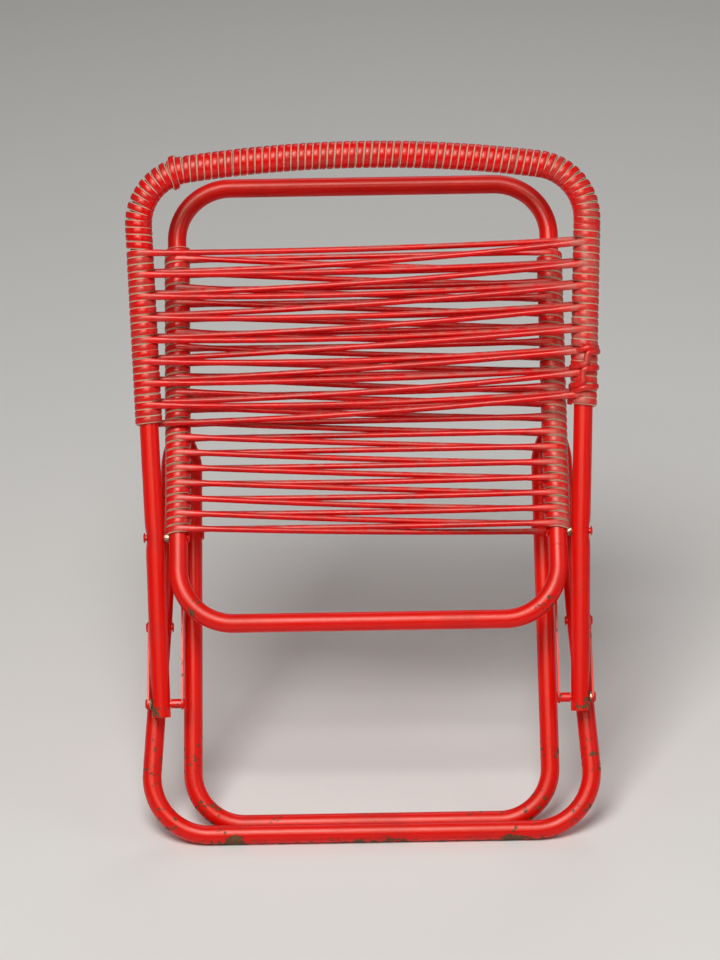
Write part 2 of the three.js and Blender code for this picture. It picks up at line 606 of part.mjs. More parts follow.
// The upper end of a link: a stub in the link, and beside it the leg's own rivet with its washer
function makeOuterLinkRivet({ side, word }) {
  const { y, z } = outerLinkRivet;
  const linkOuter = OUTER_LINK_HALF_SPREAD + LINK_THICKNESS / 2;
  const linkInner = OUTER_LINK_HALF_SPREAD - LINK_THICKNESS / 2;
  const tubeOuter = OUTER_RIVET_HALF_SPREAD + TUBE_RADIUS + OUTER_LEG_SLOPE_GAP;
  const tubeInner = OUTER_RIVET_HALF_SPREAD - TUBE_RADIUS - OUTER_LEG_SLOPE_GAP;
  const stub = stubRivet(linkOuter + FIT_GAP + RIVET_HEAD_HEIGHT, linkInner, y, z);
  const legPart = stubRivet(tubeInner - FIT_GAP - RIVET_HEAD_HEIGHT, linkInner - FIT_GAP, y, z);
  const washer = spacerRing(tubeOuter + FIT_GAP, linkInner - FIT_GAP, y, z, RIVET_HEAD_RADIUS);
  return [
    named(`outer_link_rivet_${word}`, onSide(side, stub), redEnamel),
    named(`outer_leg_rivet_${word}`, onSide(side, legPart), redEnamel),
    named(`outer_leg_washer_${word}`, onSide(side, washer), bareSteel),
  ];
}

function makeInnerLinkRivet({ side, word }) {
  const { y, z } = innerLinkRivet;
  const linkOuter = INNER_LINK_HALF_SPREAD + LINK_THICKNESS / 2;
  const linkInner = INNER_LINK_HALF_SPREAD - LINK_THICKNESS / 2;
  const tubeInner = INNER_RIVET_HALF_SPREAD - TUBE_RADIUS;
  const stub = stubRivet(linkOuter + FIT_GAP + RIVET_HEAD_HEIGHT, linkInner, y, z);
  const legPart = stubRivet(tubeInner - FIT_GAP - RIVET_HEAD_HEIGHT, linkInner - FIT_GAP, y, z);
  return [
    named(`inner_link_rivet_${word}`, onSide(side, stub), redEnamel),
    named(`inner_leg_rivet_${word}`, onSide(side, legPart), redEnamel),
  ];
}

// Cords

const WINDING_RADIUS = TUBE_RADIUS + FIT_GAP + WINDING_THICKNESS;
const WINDING_FLAT = WINDING_RADIUS * Math.cos(Math.PI / TUBE_SIDES);

// The closely wound turns are a sleeve round the tube
function winding(name, rings) {
  return named(name, hollowTube(rings, WINDING_RADIUS, TUBE_RADIUS + FIT_GAP, TUBE_SIDES), redCord);
}

// A thin sheet between the windings of two side tubes stands for the cord that crosses there
function cordPanel(name, halfWidthAt, from, to) {
  const lower = halfWidthAt(from) - WINDING_FLAT - FIT_GAP;
  const upper = halfWidthAt(to) - WINDING_FLAT - FIT_GAP;
  const outline = new THREE.Shape();
  outline.moveTo(-lower, from);
  outline.lineTo(lower, from);
  outline.lineTo(upper, to);
  outline.lineTo(-upper, to);
  outline.closePath();
  const sheet = new THREE.ExtrudeGeometry(outline, { depth: CORD_PANEL_THICKNESS, bevelEnabled: false });
  sheet.rotateX(Math.PI / 2);
  sheet.translate(0, CORD_PANEL_THICKNESS / 2, 0);
  return named(name, sheet, redCord);
}

function makeSeatCordPanel() {
  return cordPanel('seat_cord_strands', () => SEAT_HALF_WIDTH, SEAT_PANEL_START, SEAT_PANEL_END);
}

function makeBackCordPanel() {
  const from = BACK_PIVOT_HEIGHT + BACK_PANEL_START;
  return cordPanel('back_cord_strands', backHalfWidthAt, from, BACK_PANEL_END_HEIGHT);
}

// The windings of the seat stop at the neck of the leg bracket
function makeSeatWindings({ side, word }) {
  const x = side * SEAT_HALF_WIDTH;
  const bracketHalf = BRACKET_NECK_WIDTH / 2 + BRACKET_CLEARANCE;
  const stretch = (from, to) => [new THREE.Vector3(x, 0, from), new THREE.Vector3(x, 0, to)];
  const rear = stretch(RIVET_HEAD_RADIUS + 2 * FIT_GAP, LEG_PIVOT_REACH - bracketHalf);
  const front = stretch(LEG_PIVOT_REACH + bracketHalf, SEAT_WINDING_END);
  return [
    winding(`seat_winding_rear_${word}`, rear),
    winding(`seat_winding_front_${word}`, front),
  ];
}

function makeBackWindings() {
  const topStart = BACK_PANEL_END_HEIGHT + FIT_GAP;
  const top = winding('back_winding_top', backPath(topStart));
  const sides = SIDES.map(({ side, word }) => {
    const start = side < 0 ? BACK_LEFT_WINDING_START : BACK_RIGHT_WINDING_START;
    const heights = [BACK_PIVOT_HEIGHT + start, BACK_PANEL_END_HEIGHT];
    const rings = heights.map((height) => new THREE.Vector3(side * backHalfWidthAt(height), 0, height));
    return winding(`back_winding_${word}`, rings);
  });
  return [top, ...sides];
}

// The whole chair, folded and leaning back

const chair = new THREE.Group();
chair.rotation.x = -LEAN_BACK;
chair.add(makeBackFrame(), makeSeatGroup(), makeOuterLeg(), makeInnerLeg());
chair.add(makeBackCordPanel(), ...makeBackWindings());
for (const sideOf of SIDES) {
  chair.add(...makeBackPivot(sideOf), makeLegPivot(sideOf), ...makeLinkPin(sideOf));
  chair.add(makeLink(sideOf, 'outer', OUTER_LINK_HALF_SPREAD, outerLinkRivet));
  chair.add(makeLink(sideOf, 'inner', INNER_LINK_HALF_SPREAD, innerLinkRivet));
  chair.add(...makeOuterLinkRivet(sideOf), ...makeInnerLinkRivet(sideOf));
}

// The origin is under the middle of the leaning chair, on the floor
chair.updateMatrixWorld(true);
const extent = new THREE.Box3().setFromObject(chair, true);
chair.position.y = -(extent.min.y + extent.max.y) / 2;
chair.position.z = -extent.min.z;

export default chair;
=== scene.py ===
# %% [markdown]
# # A folding patio chair, wound with plastic cord
# The chair is bent steel tube in red enamel. Its seat and its back are strung with hollow red
# cord that is wound round the side tubes. It stands folded flat on its two foot bars and leans
# back. The CAD model gives the size and the place of every solid, so this script starts from its
# frame and dresses it.
# %% Load the fixed frame
import math
import bpy
import numpy as np
from mathutils import Matrix


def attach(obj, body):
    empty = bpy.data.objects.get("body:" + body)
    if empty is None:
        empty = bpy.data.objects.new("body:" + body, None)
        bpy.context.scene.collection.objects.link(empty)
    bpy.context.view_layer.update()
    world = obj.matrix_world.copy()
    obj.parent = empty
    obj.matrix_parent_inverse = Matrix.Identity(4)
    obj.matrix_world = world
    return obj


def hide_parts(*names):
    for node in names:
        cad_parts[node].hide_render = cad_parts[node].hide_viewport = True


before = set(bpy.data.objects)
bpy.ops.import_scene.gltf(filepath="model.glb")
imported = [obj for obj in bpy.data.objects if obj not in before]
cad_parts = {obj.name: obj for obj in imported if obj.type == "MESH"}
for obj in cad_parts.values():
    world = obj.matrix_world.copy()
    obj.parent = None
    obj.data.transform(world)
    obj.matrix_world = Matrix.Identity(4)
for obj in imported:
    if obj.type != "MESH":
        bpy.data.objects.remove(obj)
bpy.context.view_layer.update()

# %% [markdown]
# ## Sizes and places
# The sizes of the tubes are those of the CAD source, in millimetres, and the counts and spacings
# of the cord were read off the photograph. Each is given where it is first needed. Every piece
# could be drawn in the leaning chair, but it is easier to measure it upright, as it would be set
# out on a bench. Two functions then lean it into its place, which is where its solid lies.
# %% From the upright chair to the leaning one
MM = 0.001
TUBE_RADIUS = 9.5
BACK_PIVOT_HEIGHT = 308.0
SEAT_LEAN = math.radians(13.5)
FOOT_BAR_SPACING = 18.0
INNER_FOOT_RISE = 8.4
LEAN_BACK = math.atan2(INNER_FOOT_RISE, FOOT_BAR_SPACING)
CHAIR_SHIFT = (-184.7, 4.45)
print("the chair leans back by", round(math.degrees(LEAN_BACK), 1), "degrees")


def lean_back(points, lean, y, z):
    """Turns about X so that +Z leans towards +Y, then moves the origin to (y, z)."""
    turned = points.copy()
    turned[..., 1] = points[..., 1] * math.cos(lean) + points[..., 2] * math.sin(lean) + y
    turned[..., 2] = points[..., 2] * math.cos(lean) - points[..., 1] * math.sin(lean) + z
    return turned


def chair_place(points):
    """From the upright chair, where every height is measured, to the leaning one on the floor."""
    return lean_back(points, LEAN_BACK, *CHAIR_SHIFT)


def seat_place(points):
    """From the seat frame's own place: first its lean behind the back frame, then the chair's."""
    return chair_place(lean_back(points, SEAT_LEAN, 0.0, BACK_PIVOT_HEIGHT))


# %% [markdown]
# ## Grids, paths and meshes
# Tube and cord alike are one outline carried along a path, so every new piece is a grid of
# points. The grid could be built point by point in a loop, but whole arrays are shorter and far
# faster.
# %% Carry an outline along a path
def carry(centres, first, second, offsets):
    """point = centre + first * offset_1 + second * offset_2, for every ring and outline point."""
    offsets = np.broadcast_to(offsets, (len(centres),) + np.shape(offsets)[-2:])
    along_first = first[:, None, :] * offsets[..., :1]
    along_second = second[:, None, :] * offsets[..., 1:]
    return centres[:, None, :] + along_first + along_second


def oval(sides, half_first, half_second):
    """An ellipse: offset_1 = a * sin(angle), offset_2 = b * cos(angle)."""
    angle = np.arange(sides) * 2 * np.pi / sides
    return np.stack([np.sin(angle) * half_first, np.cos(angle) * half_second], axis=-1)


def grid_faces(rows, columns, closed_rows=False):
    """Quads between neighbouring rings, closed round each ring and, where asked, end to end."""
    row = np.arange(rows if closed_rows else rows - 1)[:, None]
    column = np.arange(columns)[None, :]
    next_row = (row + 1) % rows
    next_column = (column + 1) % columns
    corners = [row * columns + column, row * columns + next_column,
               next_row * columns + next_column, next_row * columns + column]
    return np.stack(np.broadcast_arrays(*corners), axis=-1).reshape(-1, 4)


def signed_volume(points, quads):
    """Sum over the faces of a . (b x c) / 6, taking each quad as two triangles."""
    a, b, c, d = (points[quads[:, i]] for i in range(4))
    return (np.einsum("ij,ij->", a, np.cross(b, c)) + np.einsum("ij,ij->", a, np.cross(c, d))) / 6


# %% [markdown]
# Each tube and each cord becomes one mesh. Its normals could be recalculated in Blender, but the
# sign of its volume tells at once whether its faces point outwards, and if not, they are all
# turned round.
# %% Make one piece from a grid
DRESSED_NODES = set()
CREASE = 50


def piece(name, grid, material, body, slot, replaces=(), closed_rows=False, crease=CREASE,
          **layers):
    """A mesh object from a grid of rings in millimetres, with its ends closed, riding on a body.
    Layers are values for each point, kept as attributes that the materials read."""
    rows, columns = grid.shape[:2]
    points = grid.reshape(-1, 3)
    quads = grid_faces(rows, columns, closed_rows)
    faces = quads.tolist()
    if not closed_rows:
        faces.append(list(range(columns))[::-1])
        faces.append(list(range((rows - 1) * columns, rows * columns)))
    if signed_volume(points - points.mean(axis=0), quads) < 0:
        faces = [face[::-1] for face in faces]
    mesh = bpy.data.meshes.new(name)
    mesh.from_pydata((points * MM).tolist(), [], faces)
    for layer, values in layers.items():
        attribute = mesh.attributes.new(layer, "FLOAT", "POINT")
        attribute.data.foreach_set("value", np.ascontiguousarray(values, dtype=np.float32).ravel())
    mesh.polygons.foreach_set("use_smooth", np.ones(len(mesh.polygons), dtype=bool))
    mesh.set_sharp_from_angle(angle=math.radians(crease))
    mesh.materials.append(material)
    mesh.update()
    made = bpy.data.objects.new(name, mesh)
    bpy.context.scene.collection.objects.link(made)
    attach(made, body)
    if replaces:
        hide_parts(*replaces)
        DRESSED_NODES.update(replaces)
    print(f"{name}: {len(faces)} faces on {body}")


# %% [markdown]
# A tube bender leaves straights that are joined by round arcs. A spline would wander off them, so
# the path is worked out as a workshop drawing gives it, from corner points and the radius of each
# bend.
# %% Bend a path
PATH_SAG = 0.02
PATH_STEP = 6.0


def straight_run(start, end):
    """Points from start to end, about one step apart."""
    count = max(1, round(np.linalg.norm(end - start) / PATH_STEP))
    return start + (end - start) * np.linspace(0, 1, count + 1)[:, None]


def bent_path(corners):
    """Straights between corner points, each corner rounded by an arc of its own radius, in steps of
    sqrt(8 * sag / radius), so that no chord lies further than the sag from its arc."""
    places = np.array([corner[:2] for corner in corners], dtype=float)
    stretches = []
    here = places[0]
    for i in range(1, len(places) - 1):
        into = (places[i] - places[i - 1]) / np.linalg.norm(places[i] - places[i - 1])
        out = (places[i + 1] - places[i]) / np.linalg.norm(places[i + 1] - places[i])
        turn = math.acos(np.clip(into @ out, -1, 1))
        radius = corners[i][2]
        start = places[i] - into * radius * math.tan(turn / 2)
        to_centre = (out - into * (into @ out)) / math.sin(turn)
        count = max(3, math.ceil(turn / math.sqrt(8 * PATH_SAG / radius)))
        angle = np.linspace(0, turn, count + 1)[:, None]
        arc = start + to_centre * radius * (1 - np.cos(angle)) + into * radius * np.sin(angle)
        stretches += [straight_run(here, start), arc]
        here = arc[-1]
    stretches.append(straight_run(here, places[-1]))
    joined = np.concatenate(stretches)
    moved = np.linalg.norm(np.diff(joined, axis=0), axis=1) > 1e-6
    return joined[np.concatenate([[True], moved])]


def in_plane(path):
    """Lifts (x, z) to (x, 0, z) and gives its in-plane normals, tangent x Y, and its length."""
    centres = np.stack([path[:, 0], np.zeros(len(path)), path[:, 1]], axis=-1)
    tangent = np.gradient(centres, axis=0)
    tangent /= np.linalg.norm(tangent, axis=1, keepdims=True)
    normal = np.cross(tangent, [0.0, 1.0, 0.0])
    length = np.concatenate([[0], np.cumsum(np.linalg.norm(np.diff(centres, axis=0), axis=1))])
    return centres, normal, length


def smooth_share(value, low, high):
    """0 below low, 1 above high, and 3t^2 - 2t^3 between."""
    t = np.clip((value - low) / (high - low), 0, 1)
    return t * t * (3 - 2 * t)


# %% [markdown]
# ## Materials
# Each material starts from what the real one is. Node trees could be drawn by hand in the editor,
# but one small function that adds a node with its settings and links keeps each finish readable
# as a short list. Colours are sRGB hex values, and the size of each pattern is given in
# millimetres.
# %% Colours and nodes
def linear(hex_colour):
    """sRGB hex to linear: c / 12.92 below 0.04045, else ((c + 0.055) / 1.055) ^ 2.4."""
    values = [int(hex_colour[i:i + 2], 16) / 255 for i in (1, 3, 5)]
    lit = [c / 12.92 if c <= 0.04045 else ((c + 0.055) / 1.055) ** 2.4 for c in values]
    return (*lit, 1.0)


def cells(size):
    """How many cells of noise lie in a metre where one is `size` millimetres: 1000 / size."""
    return 1000 / size


def add(tree, kind, inputs=None, out=0, **settings):
    """Adds a node and sets its properties. Each of its inputs is given a number, a hex colour or
    another node's output. Gives back the output that is asked for."""
    node = tree.nodes.new("ShaderNode" + kind)
    for key, value in settings.items():
        setattr(node, key, value)
    for key, value in (inputs or {}).items():
        if isinstance(value, bpy.types.NodeSocket):
            tree.links.new(value, node.inputs[key])
        else:
            node.inputs[key].default_value = linear(value) if isinstance(value, str) else value
    return node.outputs[out] if node.outputs else None


def new_material(name):
    """A material with an empty node tree."""
    material = bpy.data.materials.new(name)
    material.use_nodes = True
    material.node_tree.nodes.clear()
    return material, material.node_tree


# A mix of colours goes from input 6 to input 7 as input 0 goes from 0 to 1, and gives output 2.
# A smooth step takes a value from one range to another without a corner.
COLOURS = {"data_type": "RGBA", "out": 2}
SMOOTH = {"interpolation_type": "SMOOTHSTEP"}

# %% [markdown]
# ### Red enamel
# Stoved enamel over a brown primer on steel tube, smooth enough to show long soft highlights.
# Where the chair stands and rubs, it has chipped down to primer and rust, and a little dust lies
# on it. A painted wear map would need an image, so an attribute on each piece says where wear
# belongs, and noise of about 7 mm with finer noise in it decides the shape of each chip. The
# grain of rust is far finer than a millimetre, but it is drawn that coarse so that it shows.
# %% Enamel
CHIP_SIZE = 6.67
BLOTCH_SIZE = 45.5
RUST_GRAIN = 1.11
WEAR_SHARE = 0.34


def make_enamel(name, extra_wear=0.0):
    """level = noise + 0.34 * wear: the paint darkens above one level and is gone above another."""
    material, tree = new_material(name)
    place = add(tree, "TexCoord", out="Object")
    wear = add(tree, "Attribute", out="Fac", attribute_name="wear")
    chips = add(tree, "TexNoise", {"Vector": place, "Scale": cells(CHIP_SIZE), "Detail": 5.0,
                                   "Roughness": 0.62})
    blotch = add(tree, "TexNoise", {"Vector": place, "Scale": cells(BLOTCH_SIZE), "Detail": 3.0})
    fine = add(tree, "TexNoise", {"Vector": place, "Scale": cells(RUST_GRAIN), "Detail": 4.0})
    likely = add(tree, "Math", {0: wear, 1: extra_wear}, operation="ADD")
    level = add(tree, "Math", {0: likely, 1: WEAR_SHARE, 2: chips}, operation="MULTIPLY_ADD")
    chipped = add(tree, "MapRange", {"Value": level, "From Min": 0.765,
                                     "From Max": 0.785}, **SMOOTH)
    ringed = add(tree, "MapRange", {"Value": level, "From Min": 0.735, "From Max": 0.77,
                                    "To Max": 0.6}, **SMOOTH)
    faded = add(tree, "MapRange", {"Value": blotch, "From Min": 0.45, "From Max": 0.75,
                                   "To Max": 0.55}, **SMOOTH)
    dusty = add(tree, "MapRange", {"Value": fine, "From Min": 0.5, "From Max": 0.8,
                                   "To Max": 0.03}, **SMOOTH)
    rough = add(tree, "MapRange", {"Value": blotch, "From Min": 0.35, "From Max": 0.7,
                                   "To Min": 0.29, "To Max": 0.39}, **SMOOTH)
    red = add(tree, "Mix", {0: faded, 6: "#e60a01", 7: "#cb0601"}, **COLOURS)
    darker = add(tree, "Mix", {0: ringed, 6: red, 7: "#6d0d08"}, **COLOURS)
    rust = add(tree, "ValToRGB", {"Fac": fine})
    stops = rust.node.color_ramp.elements
    stops.new(0.5)
    rust_colours = ((0.3, "#3c2619"), (0.52, "#6b4628"), (0.75, "#876746"))
    for stop, (position, colour) in zip(stops, rust_colours):
        stop.position = position
        stop.color = linear(colour)
    worn = add(tree, "Mix", {0: chipped, 6: darker, 7: rust}, **COLOURS)
    low = add(tree, "Math", {0: blotch, 1: 0.25}, operation="MULTIPLY")
    height = add(tree, "Math", {0: low, 1: chipped}, operation="SUBTRACT")
    surface = add(tree, "BsdfPrincipled", {
        "Base Color": add(tree, "Mix", {0: dusty, 6: worn, 7: "#b89c88"}, **COLOURS),
        "Roughness": add(tree, "Math", {0: chipped, 1: 0.45, 2: rough}, operation="MULTIPLY_ADD"),
        "Normal": add(tree, "Bump", {"Strength": 0.35, "Distance": 0.0003, "Height": height}),
        "Specular IOR Level": 0.24, "Coat Weight": 0.08, "Coat Roughness": 0.12})
    add(tree, "OutputMaterial", {"Surface": surface})
    return material


ENAMEL = make_enamel("glossy_red_enamel_stoved_on_steel")
WORN_ENAMEL = make_enamel("worn_red_enamel_on_flat_bar", 0.42)
print("enamel made for the tubes and for the flat bars:", ENAMEL.name, WORN_ENAMEL.name)

# %% [markdown]
# ### Hollow PVC cord
# Extruded soft PVC tube, bright red and shiny, pressed flat where it is wound. Years outdoors
# have left a greyish pink film on what faces up and beige dust in the grooves between the turns.
# The same pink is also a painted sheen, laid on what faces up and on the fronts of the turns.
# Noise alone would put both anywhere, so they are attributes worked out with each cord's shape,
# and only their edges are made ragged by clouds of about 17 mm and by grit, which is drawn
# coarser than it is, at 1.4 mm, so that it shows.
# %% Cord
CLOUD_SIZE = 16.7
GRIT_SIZE = 1.43


def make_cord_material(name):
    """The pink of dust and painted sheen covers the red by its share * (0.6 * clouds + 0.12), and
    dust lies where the groove plus a tenth of the noise is above 0.9 or so."""
    material, tree = new_material(name)
    place = add(tree, "TexCoord", out="Object")
    # This attribute carries the pink dust film together with a painted sheen.
    film = add(tree, "Attribute", out="Fac", attribute_name="film")
    groove = add(tree, "Attribute", out="Fac", attribute_name="groove")
    cloud = add(tree, "TexNoise", {"Vector": place, "Scale": cells(CLOUD_SIZE), "Detail": 4.0,
                                   "Roughness": 0.6})
    grit = add(tree, "TexNoise", {"Vector": place, "Scale": cells(GRIT_SIZE), "Detail": 3.0})
    uneven = add(tree, "MapRange", {"Value": cloud, "From Min": 0.38, "From Max": 0.66}, **SMOOTH)
    red = add(tree, "Mix", {0: uneven, 6: "#e00005", 7: "#c60006"}, **COLOURS)
    # The pink laid over the red is a dust film and a painted sheen in one.
    patches = add(tree, "Math", {0: uneven, 1: 0.6, 2: 0.12}, operation="MULTIPLY_ADD")
    filmed = add(tree, "Math", {0: film, 1: patches}, operation="MULTIPLY")
    pink_dust_and_sheen = add(tree, "Mix", {0: filmed, 6: red, 7: "#c58a7c"}, **COLOURS)
    noise = add(tree, "Math", {0: grit, 1: cloud}, operation="ADD")
    ragged = add(tree, "Math", {0: noise, 1: 0.1, 2: groove}, operation="MULTIPLY_ADD")
    dusty = add(tree, "MapRange", {"Value": ragged, "From Min": 0.87, "From Max": 0.95}, **SMOOTH)
    dull = add(tree, "Math", {0: dusty, 1: 0.5, 2: 0.2}, operation="MULTIPLY_ADD")
    surface = add(tree, "BsdfPrincipled", {
        "Base Color": add(tree, "Mix", {0: dusty, 6: pink_dust_and_sheen, 7: "#d2c0a4"}, **COLOURS),
        "Roughness": add(tree, "Math", {0: filmed, 1: 0.35, 2: dull}, operation="MULTIPLY_ADD"),
        "Normal": add(tree, "Bump", {"Strength": 0.2, "Distance": 0.0002, "Height": cloud}),
        "Specular IOR Level": 0.24, "Subsurface Weight": 0.06,
        "Subsurface Radius": (0.002, 0.0004, 0.0003)})
    add(tree, "OutputMaterial", {"Surface": surface})
    return material


CORD = make_cord_material("soft_pvc_cord_extruded_hollow")
print("cord made:", CORD.name)

# %% [markdown]
# ### Bare steel
# Spacers, washers and the seam's plug were never painted. They are mild steel that has gone dull,
# with a brown bloom of rust. A picture of rust could be wrapped on them, but they are small and
# round, so noise of about 4 mm mixes steel and rust instead. Where it is rust, it isn't metal.
# %% Steel
BLOOM_SIZE = 3.85


def make_bare_steel(name):
    """rusty = a share of the bloom, and metallic = 0.9 - 0.8 * rusty."""
    material, tree = new_material(name)
    place = add(tree, "TexCoord", out="Object")
    bloom = add(tree, "TexNoise", {"Vector": place, "Scale": cells(BLOOM_SIZE), "Detail": 5.0,
                                   "Roughness": 0.65})
    spread = {"Value": bloom, "From Min": 0.42, "From Max": 0.6}
    rusty = add(tree, "MapRange", spread, **SMOOTH)
    surface = add(tree, "BsdfPrincipled", {
        "Base Color": add(tree, "Mix", {0: rusty, 6: "#a39a8c", 7: "#6b4a30"}, **COLOURS),
        "Metallic": add(tree, "MapRange", {**spread, "To Min": 0.9, "To Max": 0.1}, **SMOOTH),
        "Roughness": add(tree, "MapRange", {**spread, "To Min": 0.38, "To Max": 0.73}, **SMOOTH)})
    add(tree, "OutputMaterial", {"Surface": surface})
    return material


BARE_STEEL = make_bare_steel("mild_steel_dulled_by_rust")
print("bare steel made:", BARE_STEEL.name)

# %% [markdown]
# ## The steel tubes
# Three U frames and one closed loop, all bent from one size of tube on a tube bender, which
# leaves round corners of about 55 mm. They could be curves with a bevel. A circle carried along
# the path by numpy gives the same surface and also lets the wear and the dents be worked out per
# point.
# %% Wear and tubes
TUBE_WALL = 1.2
TUBE_SIDES = 28
DENT_DEPTH = 1.6
DENT_RADIUS = 8.0


def near(points, x, y, z, radius):
    """exp(-(distance / radius)^2) from a place in millimetres, on both sides of the chair."""
    mirrored = np.abs(points[..., 0]) - abs(x)
    squared = mirrored ** 2 + (points[..., 1] - y) ** 2 + (points[..., 2] - z) ** 2
    return np.exp(-squared / radius ** 2)


def tube_grid(centres, normal, radius=TUBE_RADIUS):
    """A circle round each centre, in the plane of the path's normal and Y."""
    across = np.broadcast_to([0.0, 1.0, 0.0], centres.shape)
    return carry(centres, normal, across, oval(TUBE_SIDES, radius, radius))


def hollow_grid(centres, normal):
    """The outer wall there, then the bore back again: one closed surface with open ends."""
    outer = tube_grid(centres, normal)
    bore = tube_grid(centres[::-1], normal[::-1], TUBE_RADIUS - TUBE_WALL)
    return np.concatenate([outer, bore])


def dent(points, x, z):
    """Presses the side beyond x in by depth * exp(-(distance / radius)^2), at a closed rivet."""
    squared = points[..., 1] ** 2 + (points[..., 2] - z) ** 2
    push = DENT_DEPTH * np.exp(-squared / DENT_RADIUS ** 2)
    outer = np.abs(points[..., 0]) > x
    pressed = points.copy()
    pressed[..., 0] -= np.sign(points[..., 0]) * push * outer
    return pressed


# %% [markdown]
# ### Back frame
# An upside-down U. Its top bar is slightly arched and its legs draw in a little towards their
# sawn ends. It could be a solid bar, but those ends are open and seen from below, so it has a
# real wall.
# %% The back frame's path
BACK_TOP_HEIGHT = 688.0
BACK_CORNER_HALF_WIDTH = 226.0
BACK_PIVOT_HALF_WIDTH = 213.0
BACK_END_HALF_WIDTH = 209.5
BACK_ARCH_RADIUS = 1280.0
BACK_CORNER_RADIUS = 55.0
BACK_SIDE_BEND_RADIUS = 500.0
LINK_PIN_DROP = 166.0
BACK_END_BELOW_PIN = 13.5
LINK_PIN_HEIGHT = BACK_PIVOT_HEIGHT - LINK_PIN_DROP
BACK_END_HEIGHT = LINK_PIN_HEIGHT - BACK_END_BELOW_PIN
ARCH_ANGLE = math.asin((BACK_CORNER_HALF_WIDTH - BACK_CORNER_RADIUS) / BACK_ARCH_RADIUS)
ARCH_PEAK = BACK_TOP_HEIGHT + BACK_ARCH_RADIUS * (1 / math.cos(ARCH_ANGLE) - 1)
BACK_CORNER_HEIGHT = ARCH_PEAK - BACK_CORNER_HALF_WIDTH * math.tan(ARCH_ANGLE)


def back_half_width(height):
    """Linear from the back pivot up to the corner."""
    share = (height - BACK_PIVOT_HEIGHT) / (BACK_CORNER_HEIGHT - BACK_PIVOT_HEIGHT)
    return BACK_PIVOT_HALF_WIDTH + (BACK_CORNER_HALF_WIDTH - BACK_PIVOT_HALF_WIDTH) * share


right_side = [(BACK_END_HALF_WIDTH, BACK_END_HEIGHT),
              (BACK_PIVOT_HALF_WIDTH, BACK_PIVOT_HEIGHT, BACK_SIDE_BEND_RADIUS),
              (BACK_CORNER_HALF_WIDTH, BACK_CORNER_HEIGHT, BACK_CORNER_RADIUS)]
left_side = [(-corner[0], *corner[1:]) for corner in right_side]
back_corners = left_side + [(0.0, ARCH_PEAK, BACK_ARCH_RADIUS)] + right_side[::-1]
back_centres, back_normal, back_length = in_plane(bent_path(back_corners))
print("length of the back frame's tube:", round(back_length[-1]), "mm")

# %% [markdown]
# The paint is worn at the sawn ends, the back pivots and the link pins. The left tube has one
# dusty scuff, and a row of scratches runs down the front of the right one.
# %% Back frame tube
SCUFF_HEIGHT = 229.0
SCRATCH_HALF_WIDTH = 1.6
SCRATCH_PLACE = 214.5
SCRATCH_LOW = (225, 235)
SCRATCH_HIGH = (258, 268)
back_grid = dent(hollow_grid(back_centres, back_normal), BACK_PIVOT_HALF_WIDTH, BACK_PIVOT_HEIGHT)
x, y, z = np.moveaxis(back_grid, -1, 0)
back_wear = (0.9 * near(back_grid, BACK_END_HALF_WIDTH, 0, BACK_END_HEIGHT, 14)
             + 0.75 * near(back_grid, BACK_PIVOT_HALF_WIDTH + TUBE_RADIUS, 0, BACK_PIVOT_HEIGHT, 9)
             + 0.8 * near(back_grid, BACK_END_HALF_WIDTH + TUBE_RADIUS, 0, LINK_PIN_HEIGHT, 12))
scuff = 0.55 * (x < 0) * near(back_grid, BACK_PIVOT_HALF_WIDTH - 2, -TUBE_RADIUS, SCUFF_HEIGHT, 9)
scratches = (0.62 * np.exp(-((x - SCRATCH_PLACE) / SCRATCH_HALF_WIDTH) ** 2) * (y < 0)
             * smooth_share(z, *SCRATCH_LOW) * (1 - smooth_share(z, *SCRATCH_HIGH)))
piece("back_tube", chair_place(back_grid), ENAMEL, "back", "red_enamel", ["back_frame_tube"],
      closed_rows=True, wear=back_wear + scuff + scratches)

# %% [markdown]
# ### Seat frame
# A closed loop with four round corners, made from one tube whose two ends meet in a butt seam on
# the right, just behind the pivot. It leans back from the pivot. A loop without a seam would be
# simpler, but the seam shows as a fine dark ring, so the path starts on one side of it and ends
# on the other.
# %% Seat frame tube
FIT_GAP = 0.3
SEAT_HALF_WIDTH = 189.5
SEAT_FRONT_REACH = 365.0
SEAT_REAR_REACH = 88.5
SEAT_CORNER_RADIUS = 55.0
SEAM_BEHIND_PIVOT = 15.0
seat_corners = [(SEAT_HALF_WIDTH, -SEAM_BEHIND_PIVOT - FIT_GAP),
                (SEAT_HALF_WIDTH, -SEAT_REAR_REACH, SEAT_CORNER_RADIUS),
                (-SEAT_HALF_WIDTH, -SEAT_REAR_REACH, SEAT_CORNER_RADIUS),
                (-SEAT_HALF_WIDTH, SEAT_FRONT_REACH, SEAT_CORNER_RADIUS),
                (SEAT_HALF_WIDTH, SEAT_FRONT_REACH, SEAT_CORNER_RADIUS),
                (SEAT_HALF_WIDTH, -SEAM_BEHIND_PIVOT)]
seat_centres, seat_normal, _ = in_plane(bent_path(seat_corners))
seat_grid = hollow_grid(seat_centres, seat_normal)
seam_wear = near(seat_grid, SEAT_HALF_WIDTH, -TUBE_RADIUS, -SEAM_BEHIND_PIVOT, 5)
seat_wear = (0.75 * near(seat_grid, SEAT_HALF_WIDTH - 14, -4, -SEAT_REAR_REACH + 12, 16)
             + 0.6 * seam_wear * (seat_grid[..., 0] > 0)
             + 0.35 * near(seat_grid, SEAT_HALF_WIDTH, 0, 0, 8))
piece("seat_tube", seat_place(seat_grid), ENAMEL, "seat", "red_enamel", ["seat_frame_tube"],
      closed_rows=True, wear=seat_wear)

